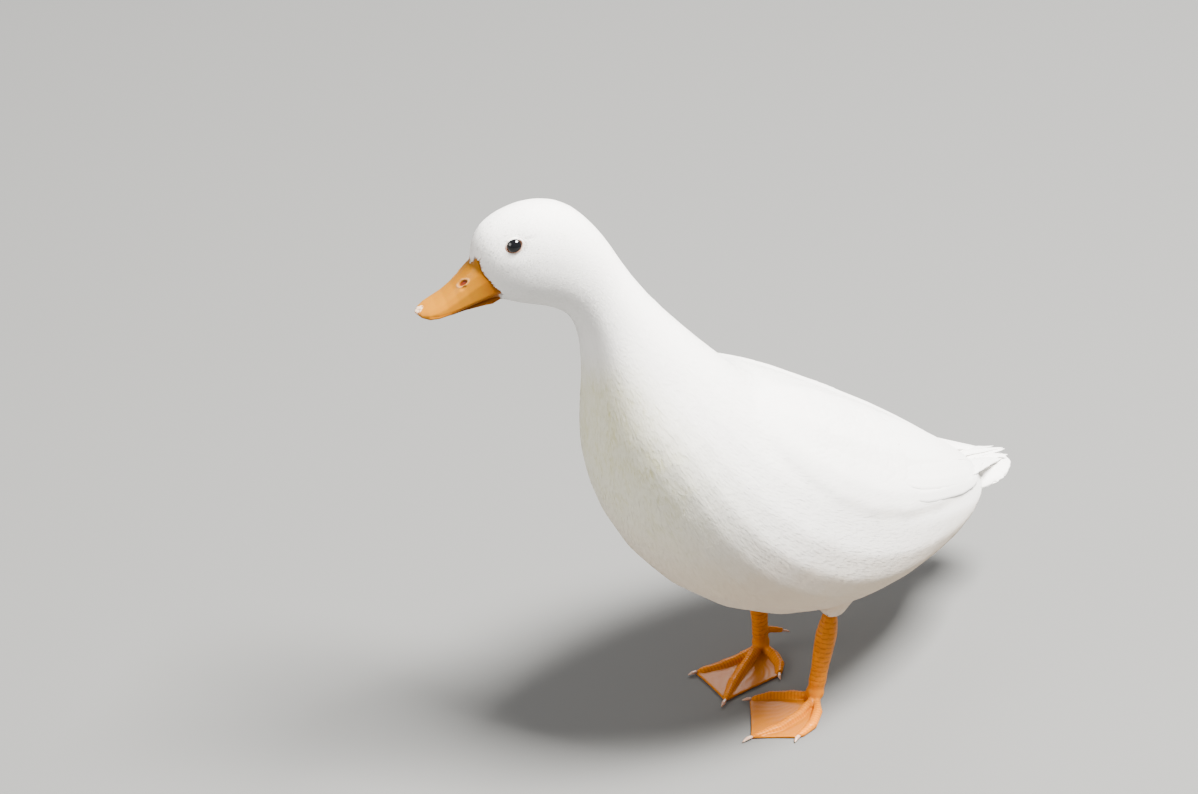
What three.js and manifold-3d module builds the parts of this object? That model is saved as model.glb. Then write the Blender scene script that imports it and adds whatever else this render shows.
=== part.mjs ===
// A small white domestic duck, standing, as a still life-size model.
//
// Millimetres, +X towards the bill, +Y to the duck's left, +Z up. The origin is on the floor, under
// the middle of the duck's bounding box, and both soles are flat at Z = 0.
//
// The flesh from the face to the rump is one lofted hull. It is parted into head, neck and trunk by
// thin cuts. Bill, eyes, wings, tail and legs sit in pockets cut a little larger than themselves, so
// that every piece is a closed solid of its own with a small gap round it.

import * as THREE from "three";
import { ParametricGeometry } from "three/addons/geometries/ParametricGeometry.js";
import { mergeVertices } from "three/addons/utils/BufferGeometryUtils.js";
import Module from "manifold-3d";

const wasm = await Module();
wasm.setup();

const degrees = THREE.MathUtils.degToRad;
const lerp = THREE.MathUtils.lerp;
const smoothstep = THREE.MathUtils.smoothstep;
const at = (x, y, z) => new THREE.Vector3(x, y, z);
const UP = at(0, 0, 1);

// ---------------------------------------------------------------- driving dimensions

const GAP = 0.3; // width of the thin cuts that part the hull
const POCKET = 0.4; // how far a pocket stands off the piece that sits in it
const HEAD_TURN = degrees(-27); // the head looks to the duck's right
const TURN_AXIS_X = 90; // the neck bends round this upright line, on the middle plane

// Rings of the hull, face first: back outline [forward, up], belly outline [forward, up], half width.
const HULL = [
  { top: [217, 342], low: [217, 342], half: 0 },
  { top: [217.5, 352], low: [211.5, 330.5], half: 7.5 },
  { top: [216, 362], low: [203, 326.5], half: 12.8 },
  { top: [210.5, 371.5], low: [194.5, 323], half: 17.6 },
  { top: [199, 378.5], low: [186, 320.7], half: 21.5 },
  { top: [182, 382.5], low: [178, 318.8], half: 23.5 },
  { top: [163.5, 379], low: [170, 315.5], half: 24 },
  { top: [149, 367], low: [163.5, 311], half: 23 },
  { top: [137.5, 351.5], low: [158.5, 304], half: 22.3 },
  { top: [127, 333.5], low: [155, 294.5], half: 23 },
  { top: [112, 312.5], low: [153.5, 280], half: 26.8 },
  { top: [93, 290.5], low: [153.5, 256], half: 35.5 },
  { top: [74, 270], low: [152.5, 228], half: 47 },
  { top: [54, 251], low: [145, 193], half: 58 },
  { top: [31, 238], low: [128, 154], half: 67 },
  { top: [4, 221], low: [101, 117], half: 74 },
  { top: [-26, 200], low: [61, 86.5], half: 76 },
  { top: [-57, 178], low: [16, 70.5], half: 74 },
  { top: [-89, 154], low: [-32, 67], half: 66 },
  { top: [-118, 130], low: [-78, 70], half: 53 },
  { top: [-140, 110], low: [-114, 76], half: 38 },
  { top: [-154, 95], low: [-138, 81], half: 21 },
  { top: [-155, 88], low: [-155, 88], half: 0 },
];
const HULL_WAIST = 0.46; // height share of a ring's widest point
const HULL_FULLNESS = 2.15; // 2 is an ellipse, more is squarer
const HULL_AROUND = 24;
const HULL_ALONG = 38;

// Rings where the bend of the neck starts and is complete, and where the hull is parted.
const BEND_STARTS = 13;
const BEND_ENDS = 8;
const PARTINGS = [
  { name: "head", ring: 7.4 },
  { name: "neck_upper", ring: 9.8 },
  { name: "neck_lower", ring: 12 },
];

// Rings of the bill, in the head's own direction before it turns, from inside the face to the tip.
const BILL_UPPER = [
  { top: [206, 344], low: [206, 344], half: 0 },
  { top: [208, 352], low: [197, 333], half: 12 },
  { top: [214, 352], low: [203.5, 331], half: 13.2 },
  { top: [219.5, 347.5], low: [212, 328], half: 12.5 },
  { top: [226, 339.5], low: [221.5, 324.8], half: 11.4 },
  { top: [233.5, 332.3], low: [230.5, 321.8], half: 11 },
  { top: [240.5, 327.5], low: [239.5, 320], half: 10.8 },
  { top: [246.5, 324.3], low: [246, 319.8], half: 8.2 },
  { top: [250.5, 321.6], low: [250.5, 321.6], half: 0 },
];
const BILL_LOWER = [
  { top: [200, 329.5], low: [200, 329.5], half: 0 },
  { top: [202, 332], low: [201, 327], half: 10.5 },
  { top: [213, 329], low: [212, 323.5], half: 10 },
  { top: [229.5, 324], low: [229, 318.8], half: 8.8 },
  { top: [241.5, 321.3], low: [241, 317.8], half: 7 },
  { top: [246.5, 320], low: [246.5, 320], half: 0 },
];
const NOSTRIL = { place: [224, 8.9, 338], length: 5.4, height: 2.2, depth: 3, slope: degrees(38) };

const EYE = { place: [195, 14.4, 364.8], radius: 5.2 };

// The folded wing is a lens that follows the hull, in rings along it and turns round it.
const WING = { from: 12.9, to: 20.9, high: 0.485, low: 0.28, proud: 3, sunk: 3 };
const WING_TIP = {
  line: [at(-62, 46, 134), at(-112, 28, 118), at(-150, 15, 103), at(-181, 7, 90)],
  width: [9, 14, 10, 3],
  thick: [1.2, 1.6, 1.3, 0.9],
};

const BLADE_FULLNESS = 3; // of the sections of wings and tail: blunt at the edges

const TAIL = {
  line: [at(-112, 0, 103), at(-140, 0, 100), at(-168, 0, 93.5), at(-190, 0, 86)],
  width: [17, 24, 24, 15],
  thick: [3.5, 3, 2, 1],
  droop: [13, 11, 7, 3],
};

// One leg and its foot. A toe's angle is from straight ahead, to the duck's left; its length is
// without the claw, and its bow is how far it arches away from the duck's middle halfway along.
const LEGS = [
  {
    side: "left",
    joint: at(5.2, 30, 7),
    hock: at(-5, 30.5, 60),
    thigh: at(-14, 33, 88),
    heading: degrees(6),
    toes: {
      inner: { angle: degrees(-42), length: 41, bow: -4 },
      middle: { angle: degrees(2), length: 58, bow: 6.5 },
      outer: { angle: degrees(30.5), length: 42, bow: 6.5 },
      hind: { angle: degrees(226), length: 11 },
    },
  },
  {
    side: "right",
    joint: at(-8.6, -32.8, 7),
    hock: at(-2, -30, 60),
    thigh: at(-8, -33, 88),
    heading: degrees(27),
    toes: {
      inner: { angle: degrees(67), length: 31.5, bow: -6 },
      middle: { angle: degrees(25.5), length: 62.5, bow: 2.5 },
      outer: { angle: degrees(-10), length: 50, bow: -3.5 },
      hind: { angle: degrees(152), length: 11 },
    },
  },
];
const TOE_HALF = 2.9; // half width of a front toe
const CLAW_LENGTH = { inner: 4.5, middle: 6.5, outer: 5, hind: 4.5 };
const WEB_THICK = 1.2;
const WEB_LIFT = 0.5; // height of the web's underside over the sole
const WEB_HOLLOW = 0.03; // share of the way back to the joint that its edge dips between two toes

// ---------------------------------------------------------------- solids from geometry

// A closed geometry with one vertex at each place, without the triangles that shrank to nothing.
function welded(geometry) {
  const bare = geometry.clone();
  bare.deleteAttribute("normal");
  bare.deleteAttribute("uv");
  const merged = mergeVertices(bare, 1e-4);
  const corners = merged.index.array;
  const kept = [];
  for (let i = 0; i < corners.length; i += 3) {
    const [a, b, c] = corners.slice(i, i + 3);
    if (a !== b && b !== c && c !== a) kept.push(a, b, c);
  }
  merged.setIndex(kept);
  return merged;
}

function solidOf(geometry) {
  const { attributes, index } = welded(geometry);
  const build = (corners) =>
    new wasm.Manifold(
      new wasm.Mesh({
        numProp: 3,
        vertProperties: attributes.position.array,
        triVerts: new Uint32Array(corners),
      }),
    );
  const solid = build(index.array);
  return solid.volume() > 0 ? solid : build([...index.array].reverse());
}

// The same solid with each corner moved out along its mean normal: what its neighbours are cut with.
function pocketOf(geometry) {
  const grown = geometryOf(solidOf(geometry));
  grown.computeVertexNormals();
  const { position, normal } = grown.attributes;
  for (let i = 0; i < position.count; i++) {
    const outwards = at(0, 0, 0).fromBufferAttribute(normal, i);
    const moved = at(0, 0, 0).fromBufferAttribute(position, i).addScaledVector(outwards, POCKET);
    position.setXYZ(i, ...moved);
  }
  return solidOf(grown);
}

function geometryOf(solid) {
  const mesh = solid.getMesh();
  const geometry = new THREE.BufferGeometry();
  const places = new Float32Array(mesh.numVert * 3);
  for (let i = 0; i < mesh.numVert; i++) {
    const start = i * mesh.numProp;
    places.set(mesh.vertProperties.subarray(start, start + 3), i * 3);
  }
  geometry.setAttribute("position", new THREE.BufferAttribute(places, 3));
  geometry.setIndex(new THREE.BufferAttribute(new Uint32Array(mesh.triVerts), 1));
  return geometry;
}

// ---------------------------------------------------------------- curves

const rounded = (value, fullness) => Math.sign(value) * Math.abs(value) ** (2 / fullness);
const curveThrough = (points) => new THREE.CatmullRomCurve3(points, false, "centripetal");

// A number that changes smoothly along a share from 0 to 1, through evenly spaced values.
function scaleOf(values) {
  const curve = curveThrough(values.map((value, i) => at(value, i, 0)));
  return (share) => curve.getPoint(share).x;
}

// How wide a round-ended shape is at a share of its line: nothing at both ends, full between them.
const endShape = (share, power) => (share === 0 || share === 1 ? 0 : Math.sin(Math.PI * share) ** power);

// The surface through a list of rings: around runs from the belly up the left side, along from the
// first ring to the last.
function ringSurface(rings, waistShare, fullness) {
  const top = curveThrough(rings.map((ring) => at(ring.top[0], 0, ring.top[1])));
  const low = curveThrough(rings.map((ring) => at(ring.low[0], 0, ring.low[1])));
  const half = scaleOf(rings.map((ring) => ring.half));
  return (around, along, target) => {
    const back = top.getPoint(along);
    const belly = low.getPoint(along);
    const waist = belly.clone().lerp(back, waistShare);
    const rise = rounded(-Math.cos(2 * Math.PI * around), fullness);
    target.copy(waist);
    target.addScaledVector(rise > 0 ? back.sub(waist) : waist.sub(belly), rise);
    target.y = half(along) * rounded(Math.sin(2 * Math.PI * around), fullness);
    return target;
  };
}

// Turns a place with the neck: not at all at the neck's base, all the way at the head.
function turned(point, share = 1) {
  point.x -= TURN_AXIS_X;
  point.applyAxisAngle(UP, HEAD_TURN * share);
  point.x += TURN_AXIS_X;
  return point;
}

// ---------------------------------------------------------------- hull: head, neck and trunk

const straightHull = ringSurface(HULL, HULL_WAIST, HULL_FULLNESS);
const alongAt = (ring) => ring / (HULL.length - 1);

function hullPoint(around, along, target) {
  const ring = along * (HULL.length - 1);
  const share = smoothstep(BEND_STARTS - ring, 0, BEND_STARTS - BEND_ENDS);
  return turned(straightHull(around, along, target), share);
}

const BELLY = 0;
const LEFT_SIDE = 0.25;
const BACK = 0.5;
const RIGHT_SIDE = 0.75;

// Everything of the hull on the face's side of a ring, as a box with one face on that ring.
const CUTTER_SIZE = 260;
function aheadOf(ring, setBack) {
  const along = alongAt(ring);
  const back = hullPoint(BACK, along, at(0, 0, 0));
  const belly = hullPoint(BELLY, along, at(0, 0, 0));
  const left = hullPoint(LEFT_SIDE, along, at(0, 0, 0));
  const right = hullPoint(RIGHT_SIDE, along, at(0, 0, 0));
  const upwards = back.clone().sub(belly).normalize();
  const forwards = left.clone().sub(right).cross(upwards).normalize();
  const leftwards = upwards.clone().cross(forwards);
  const middle = back.lerp(belly, 0.5).addScaledVector(forwards, -setBack);
  const box = new THREE.BoxGeometry(CUTTER_SIZE, CUTTER_SIZE, CUTTER_SIZE);
  box.translate(CUTTER_SIZE / 2, 0, 0);
  box.applyMatrix4(new THREE.Matrix4().makeBasis(forwards, leftwards, upwards).setPosition(middle));
  return solidOf(box);
}

const flesh = new Map();
let trunk = solidOf(new ParametricGeometry(hullPoint, HULL_AROUND, HULL_ALONG));
for (const { name, ring } of PARTINGS) {
  flesh.set(name, trunk.intersect(aheadOf(ring, 0)));
  trunk = trunk.subtract(aheadOf(ring, GAP));
}

// ---------------------------------------------------------------- bill and eyes

const BILL_WAIST = 0.2;
const BILL_FULLNESS = 2.4;

function billGeometry(rings, slices, stacks) {
  const surface = ringSurface(rings, BILL_WAIST, BILL_FULLNESS);
  const point = (around, along, target) => turned(surface(around, along, target));
  return new ParametricGeometry(point, slices, stacks);
}

function nostrilGeometry(side) {
  const { place, length, height, depth, slope } = NOSTRIL;
  const hollow = new THREE.SphereGeometry(1, 8, 6);
  hollow.scale(length / 2, depth / 2, height / 2);
  hollow.rotateY(slope);
  hollow.translate(place[0], side * place[1], place[2]);
  hollow.translate(-TURN_AXIS_X, 0, 0).rotateZ(HEAD_TURN).translate(TURN_AXIS_X, 0, 0);
  return hollow;
}

function eyeGeometry(side) {
  const [x, y, z] = EYE.place;
  const centre = turned(at(x, side * y, z));
  return new THREE.SphereGeometry(EYE.radius, 12, 8).translate(centre.x, centre.y, centre.z);
}

const billUpper = billGeometry(BILL_UPPER, 16, 11);
const billLower = billGeometry(BILL_LOWER, 12, 8);
const eyes = { left: eyeGeometry(1), right: eyeGeometry(-1) };
const bill = {
  bill_upper: solidOf(billUpper).subtract(solidOf(nostrilGeometry(1))).subtract(solidOf(nostrilGeometry(-1))),
  bill_lower: solidOf(billLower).subtract(pocketOf(billUpper)),
};
const head = [billUpper, billLower, eyes.left, eyes.right].reduce(
  (rest, geometry) => rest.subtract(pocketOf(geometry)),
  flesh.get("head"),
);
flesh.set("head", head);

// ---------------------------------------------------------------- wings

// Way out of the hull at a place on it.
function hullNormal(around, along) {
  const step = 1e-3;
  const here = hullPoint(around, along, at(0, 0, 0));
  const round = hullPoint(around + step, along, at(0, 0, 0)).sub(here);
  const onward = hullPoint(around, along + step, at(0, 0, 0)).sub(here);
  return onward.cross(round).normalize();
}

// A lens bent over the hull. Its chord swings from the shoulder's height up to the rump.
function wingGeometry(side) {
  const point = (u, v, target) => {
    const swing = Math.PI * v;
    const share = 0.5 - 0.5 * Math.cos(swing);
    const ends = endShape(v, 0.8);
    const middle = lerp((WING.high + WING.low) / 2, WING.high - 0.03, share ** 3);
    const reach = ((WING.high - WING.low) / 2) * ends * (1 - 0.2 * share);
    const around = middle - reach * rounded(Math.cos(2 * Math.PI * u), BLADE_FULLNESS);
    const rise = ends * rounded(Math.sin(2 * Math.PI * u), BLADE_FULLNESS);
    const along = alongAt(lerp(WING.from, WING.to, share));
    const lift = lerp(-WING.sunk, WING.proud, 0.5 + 0.5 * rise);
    hullPoint(around, along, target).addScaledVector(hullNormal(around, along), lift);
    target.y *= side;
    return target;
  };
  return new ParametricGeometry(point, 12, 14);
}

// A flat blade along a line: half width and half thickness from scales, edges lowered by the droop.
function bladeGeometry({ line, width, thick, droop = [0, 0] }, side, around, along) {
  const path = curveThrough(line.map((point) => at(point.x, side * point.y, point.z)));
  const [widthAt, thickAt, droopAt] = [scaleOf(width), scaleOf(thick), scaleOf(droop)];
  const point = (u, v, target) => {
    const swing = Math.PI * v;
    const share = 0.5 - 0.5 * Math.cos(swing);
    const ends = endShape(v, 0.5);
    const across = UP.clone().cross(path.getTangentAt(share)).normalize();
    const reach = ends * rounded(Math.cos(2 * Math.PI * u), BLADE_FULLNESS);
    const rise = ends * rounded(Math.sin(2 * Math.PI * u), BLADE_FULLNESS);
    target.copy(path.getPointAt(share));
    target.addScaledVector(across, reach * widthAt(share));
    target.z += rise * thickAt(share) - reach ** 2 * droopAt(share);
    return target;
  };
  return new ParametricGeometry(point, around, along);
}

const wings = { left: wingGeometry(1), right: wingGeometry(-1) };
const wingTips = {
  left: bladeGeometry(WING_TIP, 1, 10, 11),
  right: bladeGeometry(WING_TIP, -1, 10, 11),
};
const tailGeometry = bladeGeometry(TAIL, 1, 12, 8);

let tail = solidOf(tailGeometry);
const plumage = new Map();
for (const side of ["left", "right"]) {
  const tip = pocketOf(wingTips[side]);
  plumage.set(`wing_${side}`, solidOf(wings[side]).subtract(tip));
  plumage.set(`wing_tip_${side}`, solidOf(wingTips[side]));
  tail = tail.subtract(tip).subtract(pocketOf(wings[side]));
  trunk = trunk.subtract(tip).subtract(pocketOf(wings[side]));
}
trunk = trunk.subtract(pocketOf(tailGeometry));

// ---------------------------------------------------------------- legs and feet

// A round-ended limb along a line: half widths across it (sideways) and along its other way.
function limbGeometry({ line, sideways, across, high, blunt = 0.4, around, along }) {
  const path = curveThrough(line);
  const [acrossAt, highAt] = [scaleOf(across), scaleOf(high)];
  const point = (u, v, target) => {
    const swing = Math.PI * v;
    const share = 0.5 - 0.5 * Math.cos(swing);
    const ends = endShape(v, blunt);
    const upright = path.getTangentAt(share).cross(sideways).normalize();
    target.copy(path.getPointAt(share));
    target.addScaledVector(sideways, ends * acrossAt(share) * Math.cos(2 * Math.PI * u));
    target.addScaledVector(upright, ends * highAt(share) * Math.sin(2 * Math.PI * u));
    return target;
  };
  return new ParametricGeometry(point, around, along);
}

const ahead = (angle) => at(Math.cos(angle), Math.sin(angle), 0);
const beside = (angle) => at(-Math.sin(angle), Math.cos(angle), 0);

function toeParts(joint, { angle, length, bow }, clawLength, outwards) {
  const place = (distance, height) => {
    const arch = bow * Math.sin(Math.PI * THREE.MathUtils.clamp(distance / length, 0, 1));
    const along = at(joint.x, joint.y, height).addScaledVector(ahead(angle), distance);
    return along.addScaledVector(beside(angle), outwards * arch);
  };
  const toe = limbGeometry({
    line: [
      place(-1, 4.8),
      place(length * 0.25, 2.9),
      place(length * 0.5, 2.2),
      place(length * 0.75, 1.8),
      place(length, 1.5),
    ],
    sideways: beside(angle),
    across: [3, TOE_HALF, TOE_HALF, TOE_HALF, 2],
    high: [3.6, 3.1, 2.9, 2.6, 2.1],
    around: 8,
    along: 5,
  });
  const claw = limbGeometry({
    line: [
      place(length - 2.5, 1.9),
      place(length + clawLength * 0.4, 1.8),
      place(length + clawLength, 0.9),
    ],
    sideways: beside(angle),
    across: [1.5, 1.3, 0.4],
    high: [1.3, 1.1, 0.4],
    blunt: 0.5,
    around: 6,
    along: 4,
  });
  return { toe, claw, spine: [0.3, 0.6, 0.98].map((share) => place(length * share, 0)) };
}

// The hind toe is short, and set on the back of the shank clear of the floor.
function hindToeParts(joint, { angle, length }) {
  const way = ahead(angle);
  const place = (distance, height) => at(joint.x, joint.y, height).addScaledVector(way, distance);
  const reach = 4 + length;
  const toe = limbGeometry({
    line: [place(1, 16), place(7, 15.2), place(reach, 13)],
    sideways: beside(angle),
    across: [2, 1.9, 1.4],
    high: [2.4, 2.1, 1.5],
    around: 8,
    along: 5,
  });
  const claw = limbGeometry({
    line: [place(reach - 2, 13.3), place(reach + 1.5, 12.6), place(reach + CLAW_LENGTH.hind, 11)],
    sideways: beside(angle),
    across: [1, 0.9, 0.4],
    high: [1, 0.9, 0.4],
    blunt: 0.5,
    around: 6,
    along: 4,
  });
  return { toe, claw };
}

// The web is one sheet from the joint along the inner and outer toes, slightly hollowed from tip to
// tip. Each spine is the middle line of a front toe.
function webGeometry(joint, spines) {
  const [inner, middle, outer] = spines.map((spine) => spine.at(-1));
  const hollow = (a, b) => a.clone().lerp(b, 0.5).lerp(joint, WEB_HOLLOW);
  const flat = (points) => points.map(({ x, y }) => new THREE.Vector2(x, y));
  const outline = new THREE.Shape();
  outline.moveTo(joint.x, joint.y);
  outline.splineThru(flat(spines[0]));
  outline.quadraticCurveTo(hollow(inner, middle).x, hollow(inner, middle).y, middle.x, middle.y);
  outline.quadraticCurveTo(hollow(middle, outer).x, hollow(middle, outer).y, outer.x, outer.y);
  outline.splineThru(flat([...spines[2].slice(0, -1).reverse(), joint]));
  const sheet = new THREE.ExtrudeGeometry(outline, {
    depth: WEB_THICK,
    bevelEnabled: false,
    curveSegments: 4,
  });
  return sheet.translate(0, 0, WEB_LIFT);
}

const FLOOR_DEPTH = 30;
const belowFloor = solidOf(
  new THREE.BoxGeometry(400, 400, FLOOR_DEPTH).translate(0, 0, -FLOOR_DEPTH / 2),
);

const legs = new Map();
for (const { side, joint, hock, thigh, heading, toes } of LEGS) {
  const outwards = side === "left" ? 1 : -1;
  const front = ["inner", "middle", "outer"].map((toe) => ({
    name: toe,
    ...toeParts(joint, toes[toe], CLAW_LENGTH[toe], outwards),
  }));
  const hind = { name: "hind", ...hindToeParts(joint, toes.hind) };
  const shank = limbGeometry({
    line: [
      hock.clone().addScaledVector(UP, 6),
      hock,
      hock.clone().lerp(joint, 0.5),
      joint.clone().addScaledVector(UP, -1),
    ],
    sideways: beside(heading),
    across: [5, 6.5, 5.1, 6.7],
    high: [5.5, 7.6, 6.1, 7.3],
    around: 10,
    along: 8,
  });
  const cuff = limbGeometry({
    line: [thigh, thigh.clone().lerp(hock, 0.55), hock.clone().addScaledVector(UP, -2)],
    sideways: beside(heading),
    across: [20, 10.5, 6.8],
    high: [23, 12.5, 8],
    blunt: 0.3,
    around: 12,
    along: 6,
  });
  let foot = solidOf(webGeometry(joint, front.map(({ spine }) => spine)));
  for (const { toe, claw } of front) foot = foot.add(solidOf(toe)).subtract(pocketOf(claw));
  for (const { name, claw } of [...front, hind]) {
    legs.set(`claw_${side}_${name}`, solidOf(claw).subtract(belowFloor));
  }
  legs.set(`foot_${side}`, foot.subtract(belowFloor).subtract(pocketOf(shank)));
  legs.set(`shank_${side}`, solidOf(shank).add(solidOf(hind.toe)).subtract(pocketOf(hind.claw)));
  legs.set(`thigh_${side}`, solidOf(cuff).subtract(pocketOf(shank)));
  trunk = trunk.subtract(pocketOf(cuff));
}
flesh.set("trunk", trunk);

// ---------------------------------------------------------------- the duck

const FINISH = {
  feather: new THREE.MeshStandardMaterial({ color: 0xf4f2ec, roughness: 0.85, metalness: 0 }),
  bill: new THREE.MeshStandardMaterial({ color: 0xe0952b, roughness: 0.45, metalness: 0 }),
  scale: new THREE.MeshStandardMaterial({ color: 0xe8781a, roughness: 0.5, metalness: 0 }),
  horn: new THREE.MeshStandardMaterial({ color: 0xe6c9b8, roughness: 0.4, metalness: 0 }),
  eye: new THREE.MeshStandardMaterial({ color: 0x0c0a09, roughness: 0.05, metalness: 0 }),
};

const duck = new THREE.Group();
function place(name, solid, material) {
  const mesh = new THREE.Mesh(geometryOf(solid), material);
  mesh.name = name;
  duck.add(mesh);
}

for (const [name, solid] of flesh) place(name, solid, FINISH.feather);
for (const [name, solid] of plumage) place(name, solid, FINISH.feather);
place("tail", tail, FINISH.feather);
for (const [name, solid] of Object.entries(bill)) place(name, solid, FINISH.bill);
for (const [side, geometry] of Object.entries(eyes)) {
  place(`eye_${side}`, solidOf(geometry), FINISH.eye);
}
for (const [name, solid] of legs) {
  const claw = name.startsWith("claw");
  const feathered = name.startsWith("thigh");
  place(name, solid, claw ? FINISH.horn : feathered ? FINISH.feather : FINISH.scale);
}

// The origin goes under the middle of the bounding box, at the level of the soles.
const box = new THREE.Box3().setFromObject(duck);
const middle = box.getCenter(at(0, 0, 0));
duck.position.set(-middle.x, -middle.y, -box.min.z);

export default duck;
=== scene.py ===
"""The looks of a life-size white duck: skin, plumage, bill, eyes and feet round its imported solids."""

import math
from contextlib import contextmanager

import bmesh
import bpy
import numpy as np
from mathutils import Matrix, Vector
from mathutils.bvhtree import BVHTree
from mathutils.kdtree import KDTree


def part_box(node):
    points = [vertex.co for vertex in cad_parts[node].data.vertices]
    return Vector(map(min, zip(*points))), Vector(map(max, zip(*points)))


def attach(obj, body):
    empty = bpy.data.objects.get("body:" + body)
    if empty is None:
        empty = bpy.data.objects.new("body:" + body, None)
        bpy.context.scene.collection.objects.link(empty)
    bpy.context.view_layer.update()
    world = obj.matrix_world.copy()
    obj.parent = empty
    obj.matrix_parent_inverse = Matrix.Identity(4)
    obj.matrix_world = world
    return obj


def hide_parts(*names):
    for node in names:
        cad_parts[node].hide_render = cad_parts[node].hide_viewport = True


bl_info = {
    "name": "White duck",
    "version": (1, 0, 0),
    "blender": (4, 5, 0),
    "location": "View3D > Sidebar > Duck",
    "description": "Skin, plumage, bill, eyes and feet of a life-size white duck, with its stage",
    "category": "Object",
}

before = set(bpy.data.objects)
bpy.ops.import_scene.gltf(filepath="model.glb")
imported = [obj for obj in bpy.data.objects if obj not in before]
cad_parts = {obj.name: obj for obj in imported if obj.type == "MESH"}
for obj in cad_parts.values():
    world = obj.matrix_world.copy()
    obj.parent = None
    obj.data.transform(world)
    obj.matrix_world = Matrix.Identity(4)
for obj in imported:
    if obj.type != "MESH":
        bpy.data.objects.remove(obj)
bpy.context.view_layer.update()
BODY = "root"
SIDES = ("left", "right")
TOES = ("inner", "middle", "outer", "hind")

# ---------------------------------------------------------------- the build of the bird, in metres

FEATHERED = ["head", "neck_upper", "neck_lower", "trunk", "wing_left", "wing_right",
             "thigh_left", "thigh_right"]
LEGS = ["shank_left", "shank_right", "foot_left", "foot_right"]
SPINE = [  # from the face through the neck and the trunk to the tail
    (0.1816, -0.0565, 0.3420), (0.1687, -0.0499, 0.3473), (0.1486, -0.0397, 0.3506),
    (0.1275, -0.0289, 0.3390), (0.1150, -0.0197, 0.3140), (0.1013, -0.0043, 0.2732),
    (0.0780, 0.0012, 0.2220), (0.0310, 0.0012, 0.1690), (-0.0420, 0.0012, 0.1242),
    (-0.1195, 0.0012, 0.1000), (-0.1675, 0.0012, 0.0900), (-0.2115, 0.0012, 0.0850),
]
NECK_AXIS = Vector((0.0685, 0.0012, 0.0))  # the upright line that the head is turned about
HEAD_TURN = math.radians(-27)
NECK_SPAN = (0.15, 0.37)  # shares of the spine where the turn fades out, from head to shoulders
LEFTWARDS = {"left": 1, "right": -1}
SHANK = {  # toe joint and hock
    "left": (Vector((-0.0163, 0.0312, 0.0070)), Vector((-0.0265, 0.0317, 0.0600))),
    "right": (Vector((-0.0301, -0.0316, 0.0070)), Vector((-0.0235, -0.0288, 0.0600))),
}
HEADING = {"left": math.radians(6), "right": math.radians(27)}  # where each middle toe points
WING_LINE = {  # from the bend of the folded wing to its tip
    side: (Vector((0.045, 0.060 * sign, 0.195)), Vector((-0.180, 0.010 * sign, 0.098)))
    for side, sign in LEFTWARDS.items()
}

# Where the feathers of the face end against the bill: forward reach from the neck's axis by height.
FACE_EDGE_HEIGHTS = (0.330, 0.334, 0.338, 0.342, 0.346, 0.350, 0.355)
FACE_EDGE_REACH = (0.1135, 0.1128, 0.1160, 0.1192, 0.1220, 0.1235, 0.1245)
PEAK_AT = (0.0, 0.0026, 0.0052)  # distances from the middle of the forehead
PEAK_HEIGHT = (0.3492, 0.3512, 0.3552)  # its feathers end at these heights, lowest in the middle
CULMEN_CAP = [  # side outline of the bare skin that runs up the forehead, as forward reach and height
    (0.1228, 0.3472), (0.1238, 0.3515), (0.1245, 0.3545), (0.1255, 0.3552), (0.1350, 0.3552),
    (0.1350, 0.3472),
]
NOSTRIL = (0.1334, 0.3403)  # forward and up in the head
NOSTRIL_HALF = (0.0031, 0.0009)
NAIL = (0.1608, 0.0058, 0.0042)  # middle, and half length and half width of the worn horn
EYE_OPENING = (0.0048, 0.0036)
EYE_TILT = math.radians(20)

# The coat along the spine: its depth, and the length and width of its feathers.
COAT_AT = (0.0, 0.10, 0.16, 0.24, 0.32, 0.42, 0.60, 0.85, 1.0)
COAT_DEPTH = (0.0007, 0.0009, 0.0012, 0.0016, 0.0020, 0.0023, 0.0025, 0.0025, 0.0023)
COAT_LENGTH = (0.0031, 0.0041, 0.0056, 0.0080, 0.0105, 0.0135, 0.0160, 0.0160, 0.0140)
COAT_WIDTH = (0.0009, 0.0010, 0.0012, 0.0014, 0.0016, 0.0019, 0.0022, 0.0022, 0.0021)
BAKE_PATCH = 0.003  # side of a feather's patch on the OFBake map


class DuckSizes(bpy.types.PropertyGroup):
    """Sizes of skin, feathers and camera."""

    skin_cell: bpy.props.FloatProperty(
        name="Skin cell", description="Mesh size of the feathered skin", default=0.0017, unit="LENGTH"
    )
    leg_cell: bpy.props.FloatProperty(
        name="Leg cell", description="Mesh size of legs and feet", default=0.00055, unit="LENGTH"
    )
    bill_cell: bpy.props.FloatProperty(
        name="Bill cell", description="Mesh size of the bill", default=0.00045, unit="LENGTH"
    )
    scute_pitch: bpy.props.FloatProperty(
        name="Scute pitch", description="Height of one plate on the shank", default=0.0034, unit="LENGTH"
    )
    lens: bpy.props.FloatProperty(
        name="Lens", description="Focal length of the camera", default=130.0, min=1.0
    )
    distance: bpy.props.FloatProperty(
        name="Distance", description="From the camera to what it looks at", default=2.7, unit="LENGTH"
    )
    azimuth: bpy.props.FloatProperty(
        name="Azimuth", description="Turn of the camera round the bird",
        default=math.radians(138), subtype="ANGLE",
    )
    elevation: bpy.props.FloatProperty(
        name="Elevation", description="Height of the camera over the horizon",
        default=math.radians(31), subtype="ANGLE",
    )
    aim: bpy.props.FloatVectorProperty(
        name="Aim", description="The point that the camera looks at",
        default=(0.0052, -0.1445, 0.1503), subtype="XYZ", unit="LENGTH",
    )


def colour_property(name, description, default):
    return bpy.props.FloatVectorProperty(
        name=name, description=description, default=default, subtype="COLOR", min=0, max=1, size=3
    )


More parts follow.
